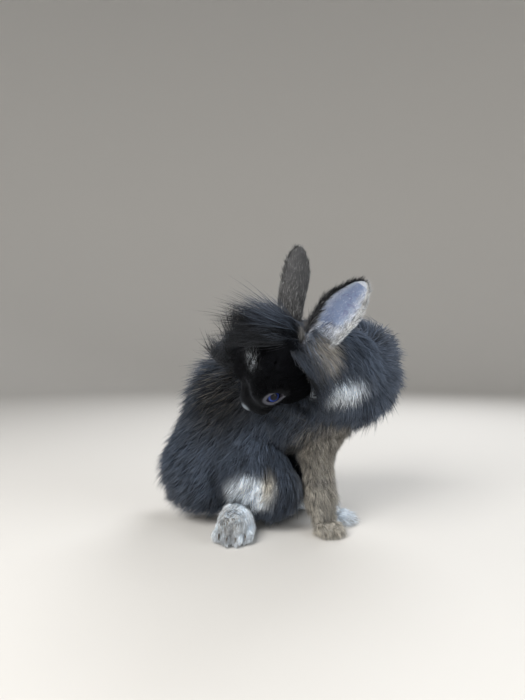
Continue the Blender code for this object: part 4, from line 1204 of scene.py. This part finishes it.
for number, (name, (_, _, look, material, slot)) in enumerate(COAT_PARTS.items()):
    chosen = np.flatnonzero(labels == number)
    own_shares = {part: share[chosen] for part, share in shares.items()}
    spots = roots[chosen], normals[chosen], length[chosen], lift[chosen]
    lines, own = combed(*spots, current_for(name, own_shares), look)
    if name.startswith("ear_"):
        colours = ear_markings(mapped[chosen], grain[chosen])
    else:
        colours = markings(lines[:, -2], own_shares, grain[chosen])
    tone = (0.72 + 0.56 * own[:, 2:3]) * (1 + 0.28 * draw.normal(size=(len(chosen), 1)))
    colours = [colour * np.clip(tone, 0.35, 1.7) for colour in colours]
    wide = look[1] * (0.75 + 0.5 * draw.random(len(chosen)))
    wide *= np.clip(length[chosen] / np.median(length[chosen]), 0.6, 1.2)
    each = 6 * (look[0] - 1) + 4
    pieces = int(np.ceil(len(chosen) * each / MOST_TRIANGLES))
    for piece, some in enumerate(np.array_split(np.argsort(roots[chosen, 0]), pieces)):
        label = "coat_" + name + (f"_{piece + 1}" if pieces > 1 else "")
        tufts = lines[some], normals[chosen][some], wide[some], [colour[some] for colour in colours]
        coat_piece(label, *tufts, material, slot)

# THE WHISKERS. Stiff pale hairs of the lip pads, the longest hairs of the face, rooted in rows on
# both sides of the muzzle: single tufts, much thinner than their length, that bow back and down.
WHISKER_COUNT, WHISKER_LENGTH, WHISKER_HALF, WHISKER_RINGS = 12, 0.036, 0.00007, 8
for name, side in (("whiskers_left", 1), ("whiskers_right", -1)):
    row, column = np.divmod(np.arange(WHISKER_COUNT), 4)
    out = side * np.full(WHISKER_COUNT, 0.0105)
    places = np.stack((0.0085 + 0.0032 * column, out, -0.0050 - 0.0030 * row), -1)
    starts = settled(on_head(places), 3, False)
    ways = LEFTWARD * side * 0.7 - FORWARD * 0.25 - HEAD_AXES[2] * 0.35
    ways = unit(ways + 0.40 * draw.normal(size=(WHISKER_COUNT, 3)))
    share = np.linspace(0, 1, WHISKER_RINGS + 1)[None, :, None]
    longer = (WHISKER_LENGTH * (0.6 + 0.4 * draw.random(WHISKER_COUNT)))[:, None, None]
    bow = (FORWARD * 0.2 - DOWNWARD * 0.3) * share**2
    lines = starts[:, None] + longer * (ways[:, None] * share - bow)
    colours = [np.full((WHISKER_COUNT, 3), value) for value in (0.04, 0.11, 0.22)]
    wide = np.full(WHISKER_COUNT, WHISKER_HALF)
    facing = np.broadcast_to(-FORWARD, (WHISKER_COUNT, 3))
    coat_piece(name, lines, facing, wide, colours, SHORT_HAIR, "fur_black")

# THE STUDIO. A pale seamless cove, a big soft lamp high on the left, a weaker one on the right,
# one behind for the outline of the coat, and the camera in front, level with the crown.


def cove():
    """Floor turned round the upright axis: flat to 1.6 m, then a quarter round up into a wall."""
    bend = np.linspace(0, np.pi / 2, 16)
    reach = np.concatenate(((0.02, 0.4, 1.0), 1.6 + 0.8 * np.sin(bend), (2.4,)))[:, None]
    height = np.concatenate(((0, 0, 0), 0.8 - 0.8 * np.cos(bend), (3.6,)))[:, None]
    turn = np.linspace(0, 2 * np.pi, 64, endpoint=False)
    places = np.broadcast_arrays(reach * np.cos(turn), reach * np.sin(turn), height)
    points = np.stack(places, -1)
    mesh = bpy.data.meshes.new("floor")
    quads = tube_faces(len(reach), 64)[:, ::-1]
    mesh.from_pydata(points.reshape(-1, 3).tolist(), [], quads.tolist() + [list(range(64))])
    mesh.shade_smooth()
    floor = bpy.data.objects.new("floor", mesh)
    bpy.context.scene.collection.objects.link(floor)
    material, _, shader = new_material("pale_floor")
    plain(shader, Base_Color=(0.62, 0.60, 0.57, 1.0), Roughness=0.85)
    mesh.materials.append(material)
    floor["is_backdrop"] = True


cove()


def soft_lamp(name, place, aim, size, power, colour):
    """A square soft lamp that points at a place."""
    light = bpy.data.lights.new(name, "AREA")
    light.size, light.energy, light.color = size, power, colour
    lamp = bpy.data.objects.new(name, light)
    bpy.context.scene.collection.objects.link(lamp)
    lamp.location = place
    way = Vector(aim) - Vector(place)
    lamp.rotation_euler = way.to_track_quat("-Z", "Y").to_euler()


soft_lamp("key", (-0.55, -0.90, 0.80), (0, 0, 0.09), 0.7, 21.0, (1.0, 0.99, 0.97))
soft_lamp("fill", (0.95, -0.65, 0.35), (0, 0, 0.07), 0.9, 9.0, (0.90, 0.95, 1.0))
soft_lamp("rim", (0.35, 0.85, 0.90), (0, 0, 0.13), 0.7, 9.0, (0.95, 0.97, 1.0))
world = bpy.data.worlds.new("studio")
world.use_nodes = True
plain(world.node_tree.nodes["Background"], Color=(0.85, 0.88, 0.92, 1.0), Strength=0.45)
bpy.context.scene.world = world
bpy.context.scene.view_settings.view_transform = "Standard"

CAMERA_PLACE, LENS = np.array((-0.015, -0.450, 0.148)), 28.8
camera = bpy.data.objects.new("camera", bpy.data.cameras.new("camera"))
bpy.context.scene.collection.objects.link(camera)
camera.location = CAMERA_PLACE + SHIFT
camera.rotation_euler = (np.pi / 2, 0, 0)
camera.data.lens, camera.data.sensor_width = LENS, 36.0
camera.data.clip_start = 0.01
bpy.context.scene.camera = camera

low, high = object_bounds()
